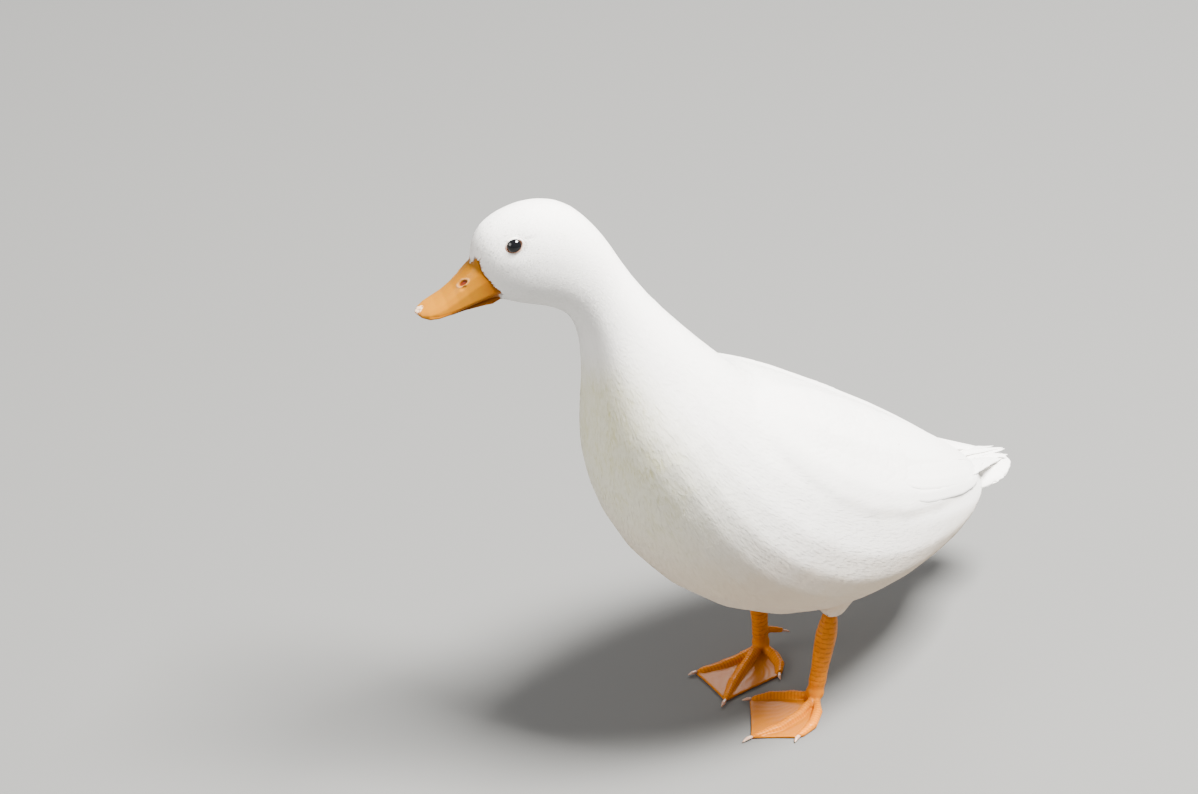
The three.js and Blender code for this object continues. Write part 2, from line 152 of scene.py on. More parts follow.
class DuckColours(bpy.types.PropertyGroup):
    """Colours of the plumage, horn and bare skin."""

    feather: colour_property("Feather", "Clean plumage", (0.90, 0.89, 0.87))
    # cream: the faint cream of clean plumage, and painted shade with warm bounce light on the underside
    # of breast and belly; also the lids' blotches
    cream: colour_property("Cream", "Shaded and worn plumage", (0.62, 0.45, 0.27))
    soil: colour_property("Soil", "Grass stain on the front of the neck", (0.58, 0.55, 0.20))
    bill: colour_property("Bill", "The bill's warm orange-yellow", (0.325, 0.122, 0.0))
    gape: colour_property("Gape", "The redder skin at the bill's base", (0.31, 0.078, 0.0))
    nail: colour_property("Nail", "Pale worn horn at the tip of the bill", (0.62, 0.48, 0.36))
    leg: colour_property("Leg", "Scaly skin of shanks and toes", (0.58, 0.172, 0.0))
    web: colour_property("Web", "Thinner skin between the toes", (0.36, 0.11, 0.0))
    claw: colour_property("Claw", "Horn of the claws", (0.42, 0.22, 0.14))
    lid: colour_property("Lid", "Inner edge of the lids", (0.20, 0.055, 0.006))
    iris: colour_property("Iris", "Dark ring round the pupil", (0.018, 0.007, 0.003))
    floor: colour_property("Floor", "The plain floor", (0.135, 0.135, 0.132))


# ---------------------------------------------------------------- meshes

DOUBLES = 1e-5  # vertices closer than this are one
JUST_INSIDE = 2e-4  # how far under a surface a ray starts, so that it doesn't meet it at once


def new_object(name, data):
    made = bpy.data.objects.new(name, data)
    bpy.context.scene.collection.objects.link(made)
    return made


def mesh_from(name, vertices, faces):
    mesh = bpy.data.meshes.new(name)
    mesh.from_pydata([tuple(v) for v in vertices], [], [tuple(f) for f in faces])
    mesh.update()
    return mesh


def numbers_of(items, field, width=1, kind=np.float32):
    """One property of all the vertices, edges, loops or faces of a mesh."""
    flat = np.empty(len(items) * width, kind)
    items.foreach_get(field, flat)
    return flat.reshape(-1, width) if width > 1 else flat


def places_of(mesh):
    return numbers_of(mesh.vertices, "co", 3).astype(float)


def normals_of(mesh):
    return numbers_of(mesh.vertices, "normal", 3).astype(float)


def values_of(mesh, name):
    return numbers_of(mesh.attributes[name].data, "value").astype(float)


def put_places(mesh, places):
    mesh.vertices.foreach_set("co", np.asarray(places, np.float32).ravel())
    mesh.update()


def store(mesh, name, values, kind="FLOAT_VECTOR"):
    """A value for each vertex, under a name that materials and node trees read."""
    layer = mesh.attributes.get(name) or mesh.attributes.new(name, kind, "POINT")
    field = "vector" if kind == "FLOAT_VECTOR" else "value"
    layer.data.foreach_set(field, np.asarray(values, np.float32).ravel())


def store_shares(mesh, **named):
    """Single numbers for each vertex, by their names."""
    for name, values in named.items():
        store(mesh, name, np.broadcast_to(values, len(mesh.vertices)), "FLOAT")


def shade_smooth(mesh):
    mesh.polygons.foreach_set("use_smooth", [True] * len(mesh.polygons))


@contextmanager
def edited(mesh):
    """A mesh open for editing, and written back when the block ends."""
    work = bmesh.new()
    work.from_mesh(mesh)
    yield work
    work.to_mesh(mesh)
    work.free()


def joined_copy(name, nodes, swell=0.0):
    """One object with the merged meshes of these solids, each grown by swell to close the thin cuts.

    nodes is a list of names, or of names with a swell of their own.
    """
    together = bmesh.new()
    for node in nodes:
        node, grown = node if isinstance(node, tuple) else (node, swell)
        part = bmesh.new()
        part.from_mesh(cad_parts[node].data)
        bmesh.ops.remove_doubles(part, verts=part.verts, dist=DOUBLES)
        part.normal_update()
        for vertex in part.verts:
            vertex.co += vertex.normal * grown
        copy = bpy.data.meshes.new(name)
        part.to_mesh(copy)
        part.free()
        together.from_mesh(copy)
        bpy.data.meshes.remove(copy)
    mesh = bpy.data.meshes.new(name)
    together.to_mesh(mesh)
    together.free()
    return new_object(name, mesh)


def applied(made):
    """Turns the result of an object's modifiers into its plain mesh."""
    graph = bpy.context.evaluated_depsgraph_get()
    mesh = bpy.data.meshes.new_from_object(
        made.evaluated_get(graph), preserve_all_data_layers=True, depsgraph=graph
    )
    made.modifiers.clear()
    old = made.data
    made.data = mesh
    bpy.data.meshes.remove(old)
    return made


def remeshed(made, cell, rounds):
    """A closed even mesh of an object's outer surface, smoothed by a number of rounds."""
    remesh = made.modifiers.new("Remesh", "REMESH")
    remesh.mode = "VOXEL"
    remesh.voxel_size = cell
    smooth = made.modifiers.new("Smooth", "SMOOTH")
    smooth.factor = 0.5
    smooth.iterations = rounds
    return applied(made)


def combined(made, other, operation):
    """Cuts or joins a closed object with another, and removes the other."""
    cut = made.modifiers.new("Cut", "BOOLEAN")
    cut.operation = operation
    cut.object = other
    cut.solver = "MANIFOLD"
    applied(made)
    remove(other)
    return made


def remove(made):
    mesh = made.data
    bpy.data.objects.remove(made)
    bpy.data.meshes.remove(mesh)


def joined_meshes(name, objects):
    together = bmesh.new()
    for each in objects:
        together.from_mesh(each.data)
    mesh = bpy.data.meshes.new(name)
    together.to_mesh(mesh)
    together.free()
    return mesh


def joined_objects(first, second):
    """Adds the second object's mesh to the first and removes the second."""
    mesh = joined_meshes(first.name, [first, second])
    remove(second)
    old = first.data
    first.data = mesh
    bpy.data.meshes.remove(old)
    return first


def outward_faces(mesh):
    with edited(mesh) as work:
        bmesh.ops.recalc_face_normals(work, faces=work.faces)


def prism(name, near, far):
    """A closed block between two outlines of as many corners."""
    count = len(near)
    faces = [tuple(range(count)), tuple(range(2 * count - 1, count - 1, -1))]
    for first in range(count):
        second = (first + 1) % count
        faces.append((second, first, first + count, second + count))
    block = new_object(name, mesh_from(name, near + far, faces))
    outward_faces(block.data)
    return block


def spread(mesh, values, rounds):
    """Averages values on vertices with their neighbours, a number of times."""
    ends = numbers_of(mesh.edges, "vertices", 2, np.int32)
    one, two = ends.T
    count = np.bincount(ends.ravel(), minlength=len(mesh.vertices)).astype(float)
    values = np.asarray(values, float)
    flat = values.reshape(len(values), -1)
    for _ in range(rounds):
        sums = np.stack([np.bincount(one, column[two], len(flat))
                         + np.bincount(two, column[one], len(flat)) for column in flat.T], 1)
        flat = 0.5 * flat + 0.5 * sums / np.maximum(count, 1)[:, None]
    return flat.reshape(values.shape)


def search_tree(mesh):
    work = bmesh.new()
    work.from_mesh(mesh)
    tree = BVHTree.FromBMesh(work)
    work.free()
    return tree


def thickness_of(mesh, limit):
    """How thick the shape is below each vertex, up to a limit."""
    tree = search_tree(mesh)
    places, outwards = places_of(mesh), normals_of(mesh)
    result = np.full(len(places), limit)
    for index, (place, outward) in enumerate(zip(places, outwards)):
        start = Vector(place - outward * JUST_INSIDE)
        hit = tree.ray_cast(start, Vector(-outward), limit)
        if hit[0] is not None:
            result[index] = hit[3] + JUST_INSIDE
    return result


def without_islands(made):
    """Keeps only the largest connected piece of a mesh, so that no bubble stays inside it."""
    with edited(made.data) as work:
        seen = set()
        islands = []
        for start in work.verts:
            if start in seen:
                continue
            island = []
            queue = [start]
            seen.add(start)
            while queue:
                vertex = queue.pop()
                island.append(vertex)
                for edge in vertex.link_edges:
                    other = edge.other_vert(vertex)
                    if other not in seen:
                        seen.add(other)
                        queue.append(other)
            islands.append(island)
        islands.sort(key=len)
        for island in islands[:-1]:
            bmesh.ops.delete(work, geom=island, context="VERTS")


def finished(made, materials, nodes=()):
    """The last steps for each piece: materials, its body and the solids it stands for."""
    owners = numbers_of(made.data.polygons, "material_index", kind=np.int32)
    made.data.materials.clear()
    for material in materials:
        made.data.materials.append(material)
    made.data.polygons.foreach_set("material_index", owners % len(materials))
    shade_smooth(made.data)
    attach(made, BODY)
    if nodes:
        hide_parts(*nodes)
    return made


def smoothstep(values, low, high):
    share = np.clip((values - low) / (high - low), 0, 1)
    return share * share * (3 - 2 * share)


def unit(vectors):
    return vectors / np.maximum(np.linalg.norm(vectors, axis=-1, keepdims=True), 1e-9)


# ---------------------------------------------------------------- the bird's own directions

SEARCH_BATCH = 4000  # places looked up at a time


def catmull(points, count):
    """Evenly numbered places on a smooth curve through points."""
    points = np.asarray(points, float)
    ends = np.vstack([2 * points[0] - points[1], points, 2 * points[-1] - points[-2]])
    shares = np.linspace(0, len(points) - 1 - 1e-9, count)
    first = shares.astype(int)
    t = (shares - first)[:, None]
    a, b, c, d = (ends[first + step] for step in range(4))
    return 0.5 * (2 * b + (c - a) * t + (2 * a - 5 * b + 4 * c - d) * t**2
                  + (3 * b - a - 3 * c + d) * t**3)


class Spine:
    """The line that the feathers follow, with the share of its length and the bird's left all along."""

    def __init__(self, points, count=300):
        line = catmull(points, count * 4)
        length = np.concatenate([[0], np.cumsum(np.linalg.norm(np.diff(line, axis=0), axis=1))])
        self.share = np.linspace(0, 1, count)
        even = self.share * length[-1]
        self.line = np.stack([np.interp(even, length, column) for column in line.T], 1)
        self.back = unit(np.gradient(self.line, axis=0))
        yaw = HEAD_TURN * (1 - smoothstep(self.share, *NECK_SPAN))
        self.left = np.stack([-np.sin(yaw), np.cos(yaw), np.zeros(count)], 1)
        up = unit(np.cross(self.left, self.back))
        self.up = up * np.where(up[:, 2:3] < 0, -1, 1)

    def nearest(self, places):
        found = np.empty(len(places), int)
        for start in range(0, len(places), SEARCH_BATCH):
            part = places[start:start + SEARCH_BATCH]
            gap = ((part[:, None, :] - self.line[None]) ** 2).sum(2)
            found[start:start + SEARCH_BATCH] = gap.argmin(1)
        return found

    def seen(self, places):
        """For each place its row of the line, and how far it lies from there, to the left and above."""
        found = self.nearest(places)
        away = places - self.line[found]
        return found, away, (away * self.left[found]).sum(1), (away * self.up[found]).sum(1)


spine = Spine(SPINE)


def in_head(places):
    """Places seen from the neck's axis, forward along the head, to its left, and up."""
    moved = np.asarray(places, float) - np.array(NECK_AXIS)
    c, s = math.cos(-HEAD_TURN), math.sin(-HEAD_TURN)
    ahead, left = moved[:, 0] * c - moved[:, 1] * s, moved[:, 0] * s + moved[:, 1] * c
    return np.stack([ahead, left, moved[:, 2]], 1)


def from_head(forward, left, up):
    c, s = math.cos(HEAD_TURN), math.sin(HEAD_TURN)
    return NECK_AXIS + Vector((forward * c - left * s, forward * s + left * c, up))


class Eye:
    """An eyeball's middle and radius, and its own directions: out of the face, forward and up."""

    def __init__(self, side):
        low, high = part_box(f"eye_{side}")
        self.middle = (low + high) / 2
        self.radius = (high.z - low.z) / 2
        around = Vector()
        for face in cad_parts["head"].data.polygons:
            away = (face.center - self.middle).length
            if 1.25 * self.radius < away < 2.2 * self.radius:
                around += face.normal * face.area
        self.out = around.normalized()
        ahead = from_head(1, 0, 0) - NECK_AXIS
        level = (ahead - self.out * ahead.dot(self.out)).normalized()
        rise = (Vector((0, 0, 1)) - self.out * self.out.z - level * level.z).normalized()
        c, s = math.cos(EYE_TILT), math.sin(EYE_TILT)
        self.front = level * c - rise * s
        self.top = rise * c + level * s

    def seen(self, places):
        """Places as distances forward, up and outwards from the eye's middle."""
        away = np.asarray(places, float) - np.array(self.middle)
        return away @ np.array([self.front, self.top, self.out]).T


EYES = {side: Eye(side) for side in SIDES}


# ---------------------------------------------------------------- materials

class Tree:
    """A node tree, built by short calls."""

    def __init__(self, tree):
        self.tree = tree

    def add(self, kind, inputs=None, **settings):
        """A new node. Inputs are by socket name or number, each a value or another node's output."""
        made = self.tree.nodes.new(kind)
        for name, value in settings.items():
            setattr(made, name, value)
        for key, value in (inputs or {}).items():
            if isinstance(value, bpy.types.NodeSocket):
                self.tree.links.new(value, made.inputs[key])
            else:
                made.inputs[key].default_value = value
        return made

    def math(self, operation, a, b=0.0):
        return self.add("ShaderNodeMath", {0: a, 1: b}, operation=operation).outputs[0]

    def product(self, *factors):
        """The product of two or more values, multiplied from the last to the first."""
        result = factors[-1]
        for factor in reversed(factors[:-1]):
            result = self.math("MULTIPLY", factor, result)
        return result

    def vector(self, operation, a, b):
        """Vector mathematics; the second value of SCALE is a number."""
        second = "Scale" if operation == "SCALE" else 1
        return self.add("ShaderNodeVectorMath", {0: a, second: b}, operation=operation).outputs[0]

    def mix(self, share, a, b):
        made = self.add("ShaderNodeMix", {0: share, 6: a, 7: b}, data_type="RGBA")
        return made.outputs[2]

    def ramp(self, value, low, high):
        """0 below low and 1 above high, with a soft step between."""
        made = self.add("ShaderNodeMapRange", {"Value": value, "From Min": low, "From Max": high},
                        interpolation_type="SMOOTHSTEP")
        return made.outputs["Result"]

    def noise(self, vector, scale, detail=3.0):
        made = self.add("ShaderNodeTexNoise", {"Vector": vector, "Scale": scale, "Detail": detail,
                                               "Roughness": 0.55})
        return made.outputs["Fac"]

    def place(self):
        """The place on the object, which patterns are laid on."""
        return self.add("ShaderNodeTexCoord").outputs["Object"]

    def named(self, name, kind="FLOAT_VECTOR"):
        made = self.add("GeometryNodeInputNamedAttribute", {"Name": name}, data_type=kind)
        return made.outputs["Attribute"]

    def number(self, name):
        return self.named(name, "FLOAT")

    def stored(self, geometry, name, value, kind, domain):
        made = self.add("GeometryNodeStoreNamedAttribute", {"Geometry": geometry, "Name": name},
                        data_type=kind, domain=domain)
        self.tree.links.new(value, made.inputs["Value"])
        return made.outputs[0]

    def random(self, low, high, seed, turn):
        """A value of its own for each point; turn tells apart the draws of one tree."""
        number = self.math("ADD", self.math("MULTIPLY", seed, 10.0), float(turn))
        made = self.add("FunctionNodeRandomValue", {2: low, 3: high, "Seed": number}, data_type="FLOAT")
        return made.outputs[1]

    def nearest(self, surface, value, place, kind="FLOAT_VECTOR"):
        """A value of the surface, at its spot nearest to a place."""
        made = self.add("GeometryNodeSampleNearestSurface", {"Mesh": surface, "Sample Position": place},
                        data_type=kind)
        self.tree.links.new(value, made.inputs["Value"])
        return made.outputs["Value"]

    def attribute(self, name):
        return self.add("ShaderNodeAttribute", attribute_name=name).outputs["Fac"]

    def give(self, value, node, socket):
        self.tree.links.new(value, node.inputs[socket])


def rgba(colour):
    return (*colour, 1.0)


def new_group(name, inputs, outputs):
    """An empty shader node group with named sockets, given as (name, type, default)."""
    group = bpy.data.node_groups.new(name, "ShaderNodeTree")
    for socket, kind, default in inputs:
        made = group.interface.new_socket(socket, in_out="INPUT", socket_type=kind)
        if default is not None:
            made.default_value = default
    for socket, kind in outputs:
        group.interface.new_socket(socket, in_out="OUTPUT", socket_type=kind)
    tree = Tree(group)
    return group, tree, tree.add("NodeGroupInput"), tree.add("NodeGroupOutput")


def mottle_group(name):
    """Soft blotches of a second colour, as living skin and worn feathers have."""
    group, tree, given, result = new_group(
        name,
        [("Base", "NodeSocketColor", None), ("Other", "NodeSocketColor", None),
         ("Scale", "NodeSocketFloat", 40.0), ("Amount", "NodeSocketFloat", 0.4)],
        [("Color", "NodeSocketColor")],
    )
    blotch = tree.ramp(tree.noise(tree.place(), given.outputs["Scale"], 4.0), 0.35, 0.75)
    share = tree.product(blotch, given.outputs["Amount"])
    tree.give(tree.mix(share, given.outputs["Base"], given.outputs["Other"]), result, "Color")
    return group


def pores_group(name):
    """The height of fine grain on bare skin and horn."""
    group, tree, given, result = new_group(
        name,
        [("Scale", "NodeSocketFloat", 900.0), ("Wrinkle", "NodeSocketFloat", 250.0)],
        [("Height", "NodeSocketFloat")],
    )
    place = tree.place()
    grain = tree.noise(place, given.outputs["Scale"], 2.0)
    cells = tree.add("ShaderNodeTexVoronoi", {"Vector": place, "Scale": given.outputs["Wrinkle"]},
                     feature="DISTANCE_TO_EDGE")
    creases = tree.ramp(cells.outputs["Distance"], 0.0, 0.12)
    tree.give(tree.math("ADD", tree.product(grain, 0.5), tree.product(creases, 0.5)), result, "Height")
    return group


def plumage_group(name):
    """Colours of the plumage by place: cream below, which is painted shade and warm bounce light, grass
    stain on the front of the neck, and painted shade in the fold behind each eye.
    """
    group, tree, given, result = new_group(
        name,
        [(colour, "NodeSocketColor", None) for colour in ("Feather", "Cream", "Soil")],
        [("Color", "NodeSocketColor")],
    )
    cream, soil, tone = (tree.attribute(name) for name in ("cream", "soil", "tone"))
    # painted shade and warm bounce light: the cream share, strongest on the underside
    warm = tree.mix(tree.product(cream, 0.85), given.outputs["Feather"], given.outputs["Cream"])
    dirty = tree.mix(soil, warm, given.outputs["Soil"])
    # darker where the tone is lower: random tone, and painted shade in the fold behind each eye
    darker = tree.math("ADD", tree.product(tone, 0.07), 0.94)
    tree.give(tree.vector("SCALE", dirty, darker), result, "Color")
    return group


GROUPS = {"Mottle": mottle_group, "Pores": pores_group, "Plumage markings": plumage_group}
# painted shade: the dark red inside the nostrils stands for the shadow in their hollows
PIT_SHADE = (0.11, 0.012, 0.002)  # inside the nostrils
CHIPPED_HORN = (0.16, 0.05, 0.012)
PUPIL = (0.002, 0.002, 0.0025)
IRIS_FIBRE = (0.07, 0.028, 0.01)


def made_once(name):
    """For a method that builds the material of this name: it is built when it is first asked for."""
    def wrapped(build):
        return lambda self: bpy.data.materials.get(name) or build(self, name)
    return wrapped


class Finish:
    """Builds each material once, from the panel's colours."""

    def __init__(self):
        given = bpy.context.scene.duck_colours
        self.colours = {name: rgba(getattr(given, name)) for name in DuckColours.__annotations__}

    def start(self, name, **sockets):
        material = bpy.data.materials.new(name)
        material.use_nodes = True
        tree = Tree(material.node_tree)
        shader = material.node_tree.nodes["Principled BSDF"]
        for socket, value in sockets.items():
            shader.inputs[socket.replace("_", " ")].default_value = value
        return material, tree, shader

    def bump(self, tree, shader, height, distance, strength):
        made = tree.add("ShaderNodeBump", {"Height": height, "Strength": strength, "Distance": distance})
        tree.give(made.outputs["Normal"], shader, "Normal")

    def placed(self, tree, name, inputs):
        """A shared group in this material, built when it is first used."""
        group = bpy.data.node_groups.get(name) or GROUPS[name](name)
        return tree.add("ShaderNodeGroup", inputs, node_tree=group).outputs[0]

    def mottled(self, tree, base, other, scale, amount):
        return self.placed(tree, "Mottle", {"Base": base, "Other": self.colours[other],
                                            "Scale": scale, "Amount": amount})

    def pores(self, tree, shader, scale, wrinkle, distance, strength):
        height = self.placed(tree, "Pores", {"Scale": scale, "Wrinkle": wrinkle})
        self.bump(tree, shader, height, distance, strength)

    def marked_and_shaded(self, name):
        """A plumage material with its markings and painted shade, and the colour that they give."""
        material, tree, shader = self.start(
            name, Roughness=0.78, Sheen_Weight=0.3, Sheen_Roughness=0.5, Specular_IOR_Level=0.25,
        )
        colours = {each.capitalize(): self.colours[each] for each in ("feather", "cream", "soil")}
        return material, tree, shader, self.placed(tree, "Plumage markings", colours)

    @made_once("Plumage")
    def plumage(self, name):
        material, tree, shader, shown = self.marked_and_shaded(name)
        tree.give(shown, shader, "Base Color")
        vane = tree.add("ShaderNodeAttribute", attribute_name="vane").outputs["Vector"]
        split = tree.add("ShaderNodeSeparateXYZ", {0: vane}).outputs
        slant = tree.math("SUBTRACT", split["Y"], tree.product(tree.math("ABSOLUTE", split["X"]), 0.6))
        barbs = tree.math("SINE", tree.product(slant, 130.0))
        self.bump(tree, shader, barbs, 0.00004, 0.25)
        return material

    @made_once("Down")
    def down(self, name):
        material, tree, shader, shown = self.marked_and_shaded(name)
        bare = tree.mix(0.35, self.colours["bill"], self.colours["gape"])
        tree.give(tree.mix(tree.attribute("bare"), shown, bare), shader, "Base Color")
        return material

    @made_once("Leg skin")
    def leg_skin(self, name):
        material, tree, shader = self.start(
            name, Roughness=0.33, Specular_IOR_Level=0.1, Coat_Weight=0.02, Coat_Roughness=0.12,
            Subsurface_Weight=0.05, Subsurface_Scale=0.002,
        )
        web, groove = tree.attribute("web"), tree.attribute("groove")
        skin = tree.mix(web, self.colours["leg"], self.colours["web"])
        mottled = self.mottled(tree, skin, "gape", 90.0, 0.35)
        # painted shade: the grooves between the plates and the troughs of the fine wrinkles are painted
        # a darker red
        groove_shade = rgba([value * 0.55 for value in self.colours["gape"][:3]])
        tree.give(tree.mix(tree.product(groove, 0.6), mottled, groove_shade), shader, "Base Color")
        self.pores(tree, shader, 1500.0, 700.0, 0.0001, 0.35)
        return material

    @made_once("Bill skin")
    def bill(self, name):
        material, tree, shader = self.start(
            name, Roughness=0.30, Specular_IOR_Level=0.1, Coat_Weight=0.03, Coat_Roughness=0.12,
            Subsurface_Weight=0.05, Subsurface_Scale=0.002,
        )
        base, nail, pit, pale = (tree.attribute(each) for each in ("base", "nail", "pit", "pale"))
        mottled = self.mottled(tree, self.colours["bill"], "gape", 70.0, 0.22)
        redder = tree.mix(base, mottled, self.colours["gape"])
        chips = tree.ramp(tree.noise(tree.place(), 700.0, 3.0), 0.38, 0.5)
        horn = tree.mix(chips, rgba(CHIPPED_HORN), self.colours["nail"])
        worn = tree.mix(pale, tree.mix(nail, redder, horn), self.colours["nail"])
        # the nostrils' pits are painted dark as shade
        tree.give(tree.mix(pit, worn, rgba(PIT_SHADE)), shader, "Base Color")
        self.pores(tree, shader, 1400.0, 1900.0, 0.00004, 0.3)
        return material

    @made_once("Lid skin")
    def lid_skin(self, name):
        material, tree, shader = self.start(name, Roughness=0.4, Specular_IOR_Level=0.5,
                                            Subsurface_Weight=0.1, Subsurface_Scale=0.002)
        mottled = self.mottled(tree, self.colours["feather"], "cream", 400.0, 0.5)
        tree.give(tree.mix(tree.attribute("rim"), mottled, self.colours["lid"]), shader, "Base Color")
        self.pores(tree, shader, 3000.0, 1600.0, 0.00008, 0.6)
        return material

    @made_once("Claw horn")
    def claw(self, name):
        material, tree, shader = self.start(name, Roughness=0.32, Specular_IOR_Level=0.5,
                                            Subsurface_Weight=0.2, Subsurface_Scale=0.002)
        tree.give(self.mottled(tree, self.colours["claw"], "nail", 300.0, 0.6), shader, "Base Color")
        self.pores(tree, shader, 2500.0, 1200.0, 0.00005, 0.4)
        return material

    @made_once("Eye")
    def eye(self, name):
        material, tree, shader = self.start(name, Roughness=0.05, Specular_IOR_Level=0.35,
                                            Coat_Weight=0.25, Coat_Roughness=0.02)
        ring = tree.ramp(tree.attribute("away"), 0.52, 0.6)
        fibres = tree.noise(tree.place(), 1800.0, 3.0)
        iris = tree.mix(fibres, self.colours["iris"], rgba(IRIS_FIBRE))
        tree.give(tree.mix(ring, rgba(PUPIL), iris), shader, "Base Color")
        return material

    @made_once("Floor")
    def floor(self, name):
        material, tree, shader = self.start(name, Roughness=0.9, Specular_IOR_Level=0.1)
        plain = self.colours["floor"]
        darker = rgba([value * 0.97 for value in plain[:3]])
        tint = tree.mix(tree.noise(tree.place(), 3.0), plain, darker)
        tree.give(tint, shader, "Base Color")
        return material


# ---------------------------------------------------------------- skin

EDGE_BLUR = 0.0003  # half the distance over which the feathers of the face end
LID_WIDTH = 0.0007  # from the opening of an eye to the feathers round it
EYE_REACH = 0.01  # how far out of an eye's plane its room and its fold are felt
FAR_FROM_EYES = 0.05
FOLD = (0.0045, 0.0125)  # where the fold behind each eye begins and ends, back from its middle
FOLD_RISE, FOLD_SLOPE = 0.0004, 0.12  # how high it begins over the middle, and how it drops from there
FOLD_WIDTH = 0.0011


def face_cover(places):
    """1 where the face carries feathers and 0 on the bare base of the bill."""
    ahead, left, up = in_head(places).T
    edge = np.interp(up, FACE_EDGE_HEIGHTS, FACE_EDGE_REACH)
    peak = np.interp(np.abs(left), PEAK_AT, PEAK_HEIGHT)
    above = smoothstep(up - peak, -EDGE_BLUR, EDGE_BLUR)
    behind = 1 - smoothstep(ahead, edge - 0.0005, edge + EDGE_BLUR)
    return np.maximum(above, behind)


def eye_cover(places):
    """1 away from the eyes and 0 inside their lids."""
    cover = np.ones(len(places))
    for eye in EYES.values():
        ahead, up, out = eye.seen(places).T
        away = np.hypot(ahead / (EYE_OPENING[0] + LID_WIDTH), up / (EYE_OPENING[1] + LID_WIDTH))
        near = (np.abs(out) < 2 * eye.radius) & (away < 2)
        cover = np.where(near, np.minimum(cover, smoothstep(away, 0.93, 1.07)), cover)
    return cover


def eye_room(places):
    """Distance to the nearest eye opening, so that the feathers round it stay short of it."""
    room = np.full(len(places), FAR_FROM_EYES)
    for eye in EYES.values():
        ahead, up, out = eye.seen(places).T
        away = np.hypot(ahead / EYE_OPENING[0], up / EYE_OPENING[1]) - 1
        room = np.where(np.abs(out) < EYE_REACH, np.minimum(room, away * EYE_OPENING[1]), room)
    return np.maximum(room, 0)


def crease(places):
    """1 along the soft fold that runs back from each eye, and 0 elsewhere."""
    fold = np.zeros(len(places))
    for eye in EYES.values():
        ahead, up, out = eye.seen(places).T
        back = np.clip(-ahead, *FOLD)
        gap = np.hypot(-ahead - back, (up - FOLD_RISE + FOLD_SLOPE * (back - FOLD[0])) * 1.6)
        fold = np.maximum(fold, np.exp(-(gap / FOLD_WIDTH) ** 2) * (np.abs(out) < EYE_REACH))
    return fold


def nearness(places, node, reach):
    """1 on the surface of a solid, falling to 0 a short way from it."""
    low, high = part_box(node)
    inside = np.all((places > np.array(low) - reach) & (places < np.array(high) + reach), axis=1)
    result = np.zeros(len(places))
    tree = search_tree(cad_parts[node].data)
    for index in np.nonzero(inside)[0]:
        found = tree.find_nearest(Vector(places[index]))
        result[index] = 1 - found[3] / reach
    return smoothstep(result, 0.0, 0.85)


FACE_SHARE = 0.09  # up to this share of the spine the feathers fan out round the face
WING_BLEND, THIGH_BLEND = 0.004, 0.012  # how far from wing and thigh the feathers turn to their way
THIGH_TOP = (0.086, 0.102)  # heights where the thigh's feathers go over into the belly's
# The rear edge of the folded wing as shares of the spine and degrees from the top of the back. The
# coat is thinner right behind it, between the shares where this fades in and those where it fades out.
WING_REAR_EDGE = ((0.74, 0.765, 0.80, 0.84, 0.88), (76, 69, 66.5, 63, 60))
WING_REAR_START, WING_REAR_END = (0.75, 0.78), (0.90, 0.93)
UNWRAP_START, UNWRAP_SPAN = 0.02, 0.96  # where the spine lies on the OFBake map
PLAIN_CREAM = 0.10  # the cream in the cleanest feathers
CUT_SWELL = 0.00022  # grows the solids until the cuts between them close


def turned_to(flow, way, near):
    """The feathers' directions, turned to a way of their own where near is 1."""
    return flow + near[:, None] * (np.array(way.normalized()) - flow)


def unwrapped(share, across, above):
    """Places on the OFBake map, by share of the spine and by turn round it."""
    return np.stack([UNWRAP_START + UNWRAP_SPAN * share, np.arctan2(across, above) / math.tau + 0.5], 1)


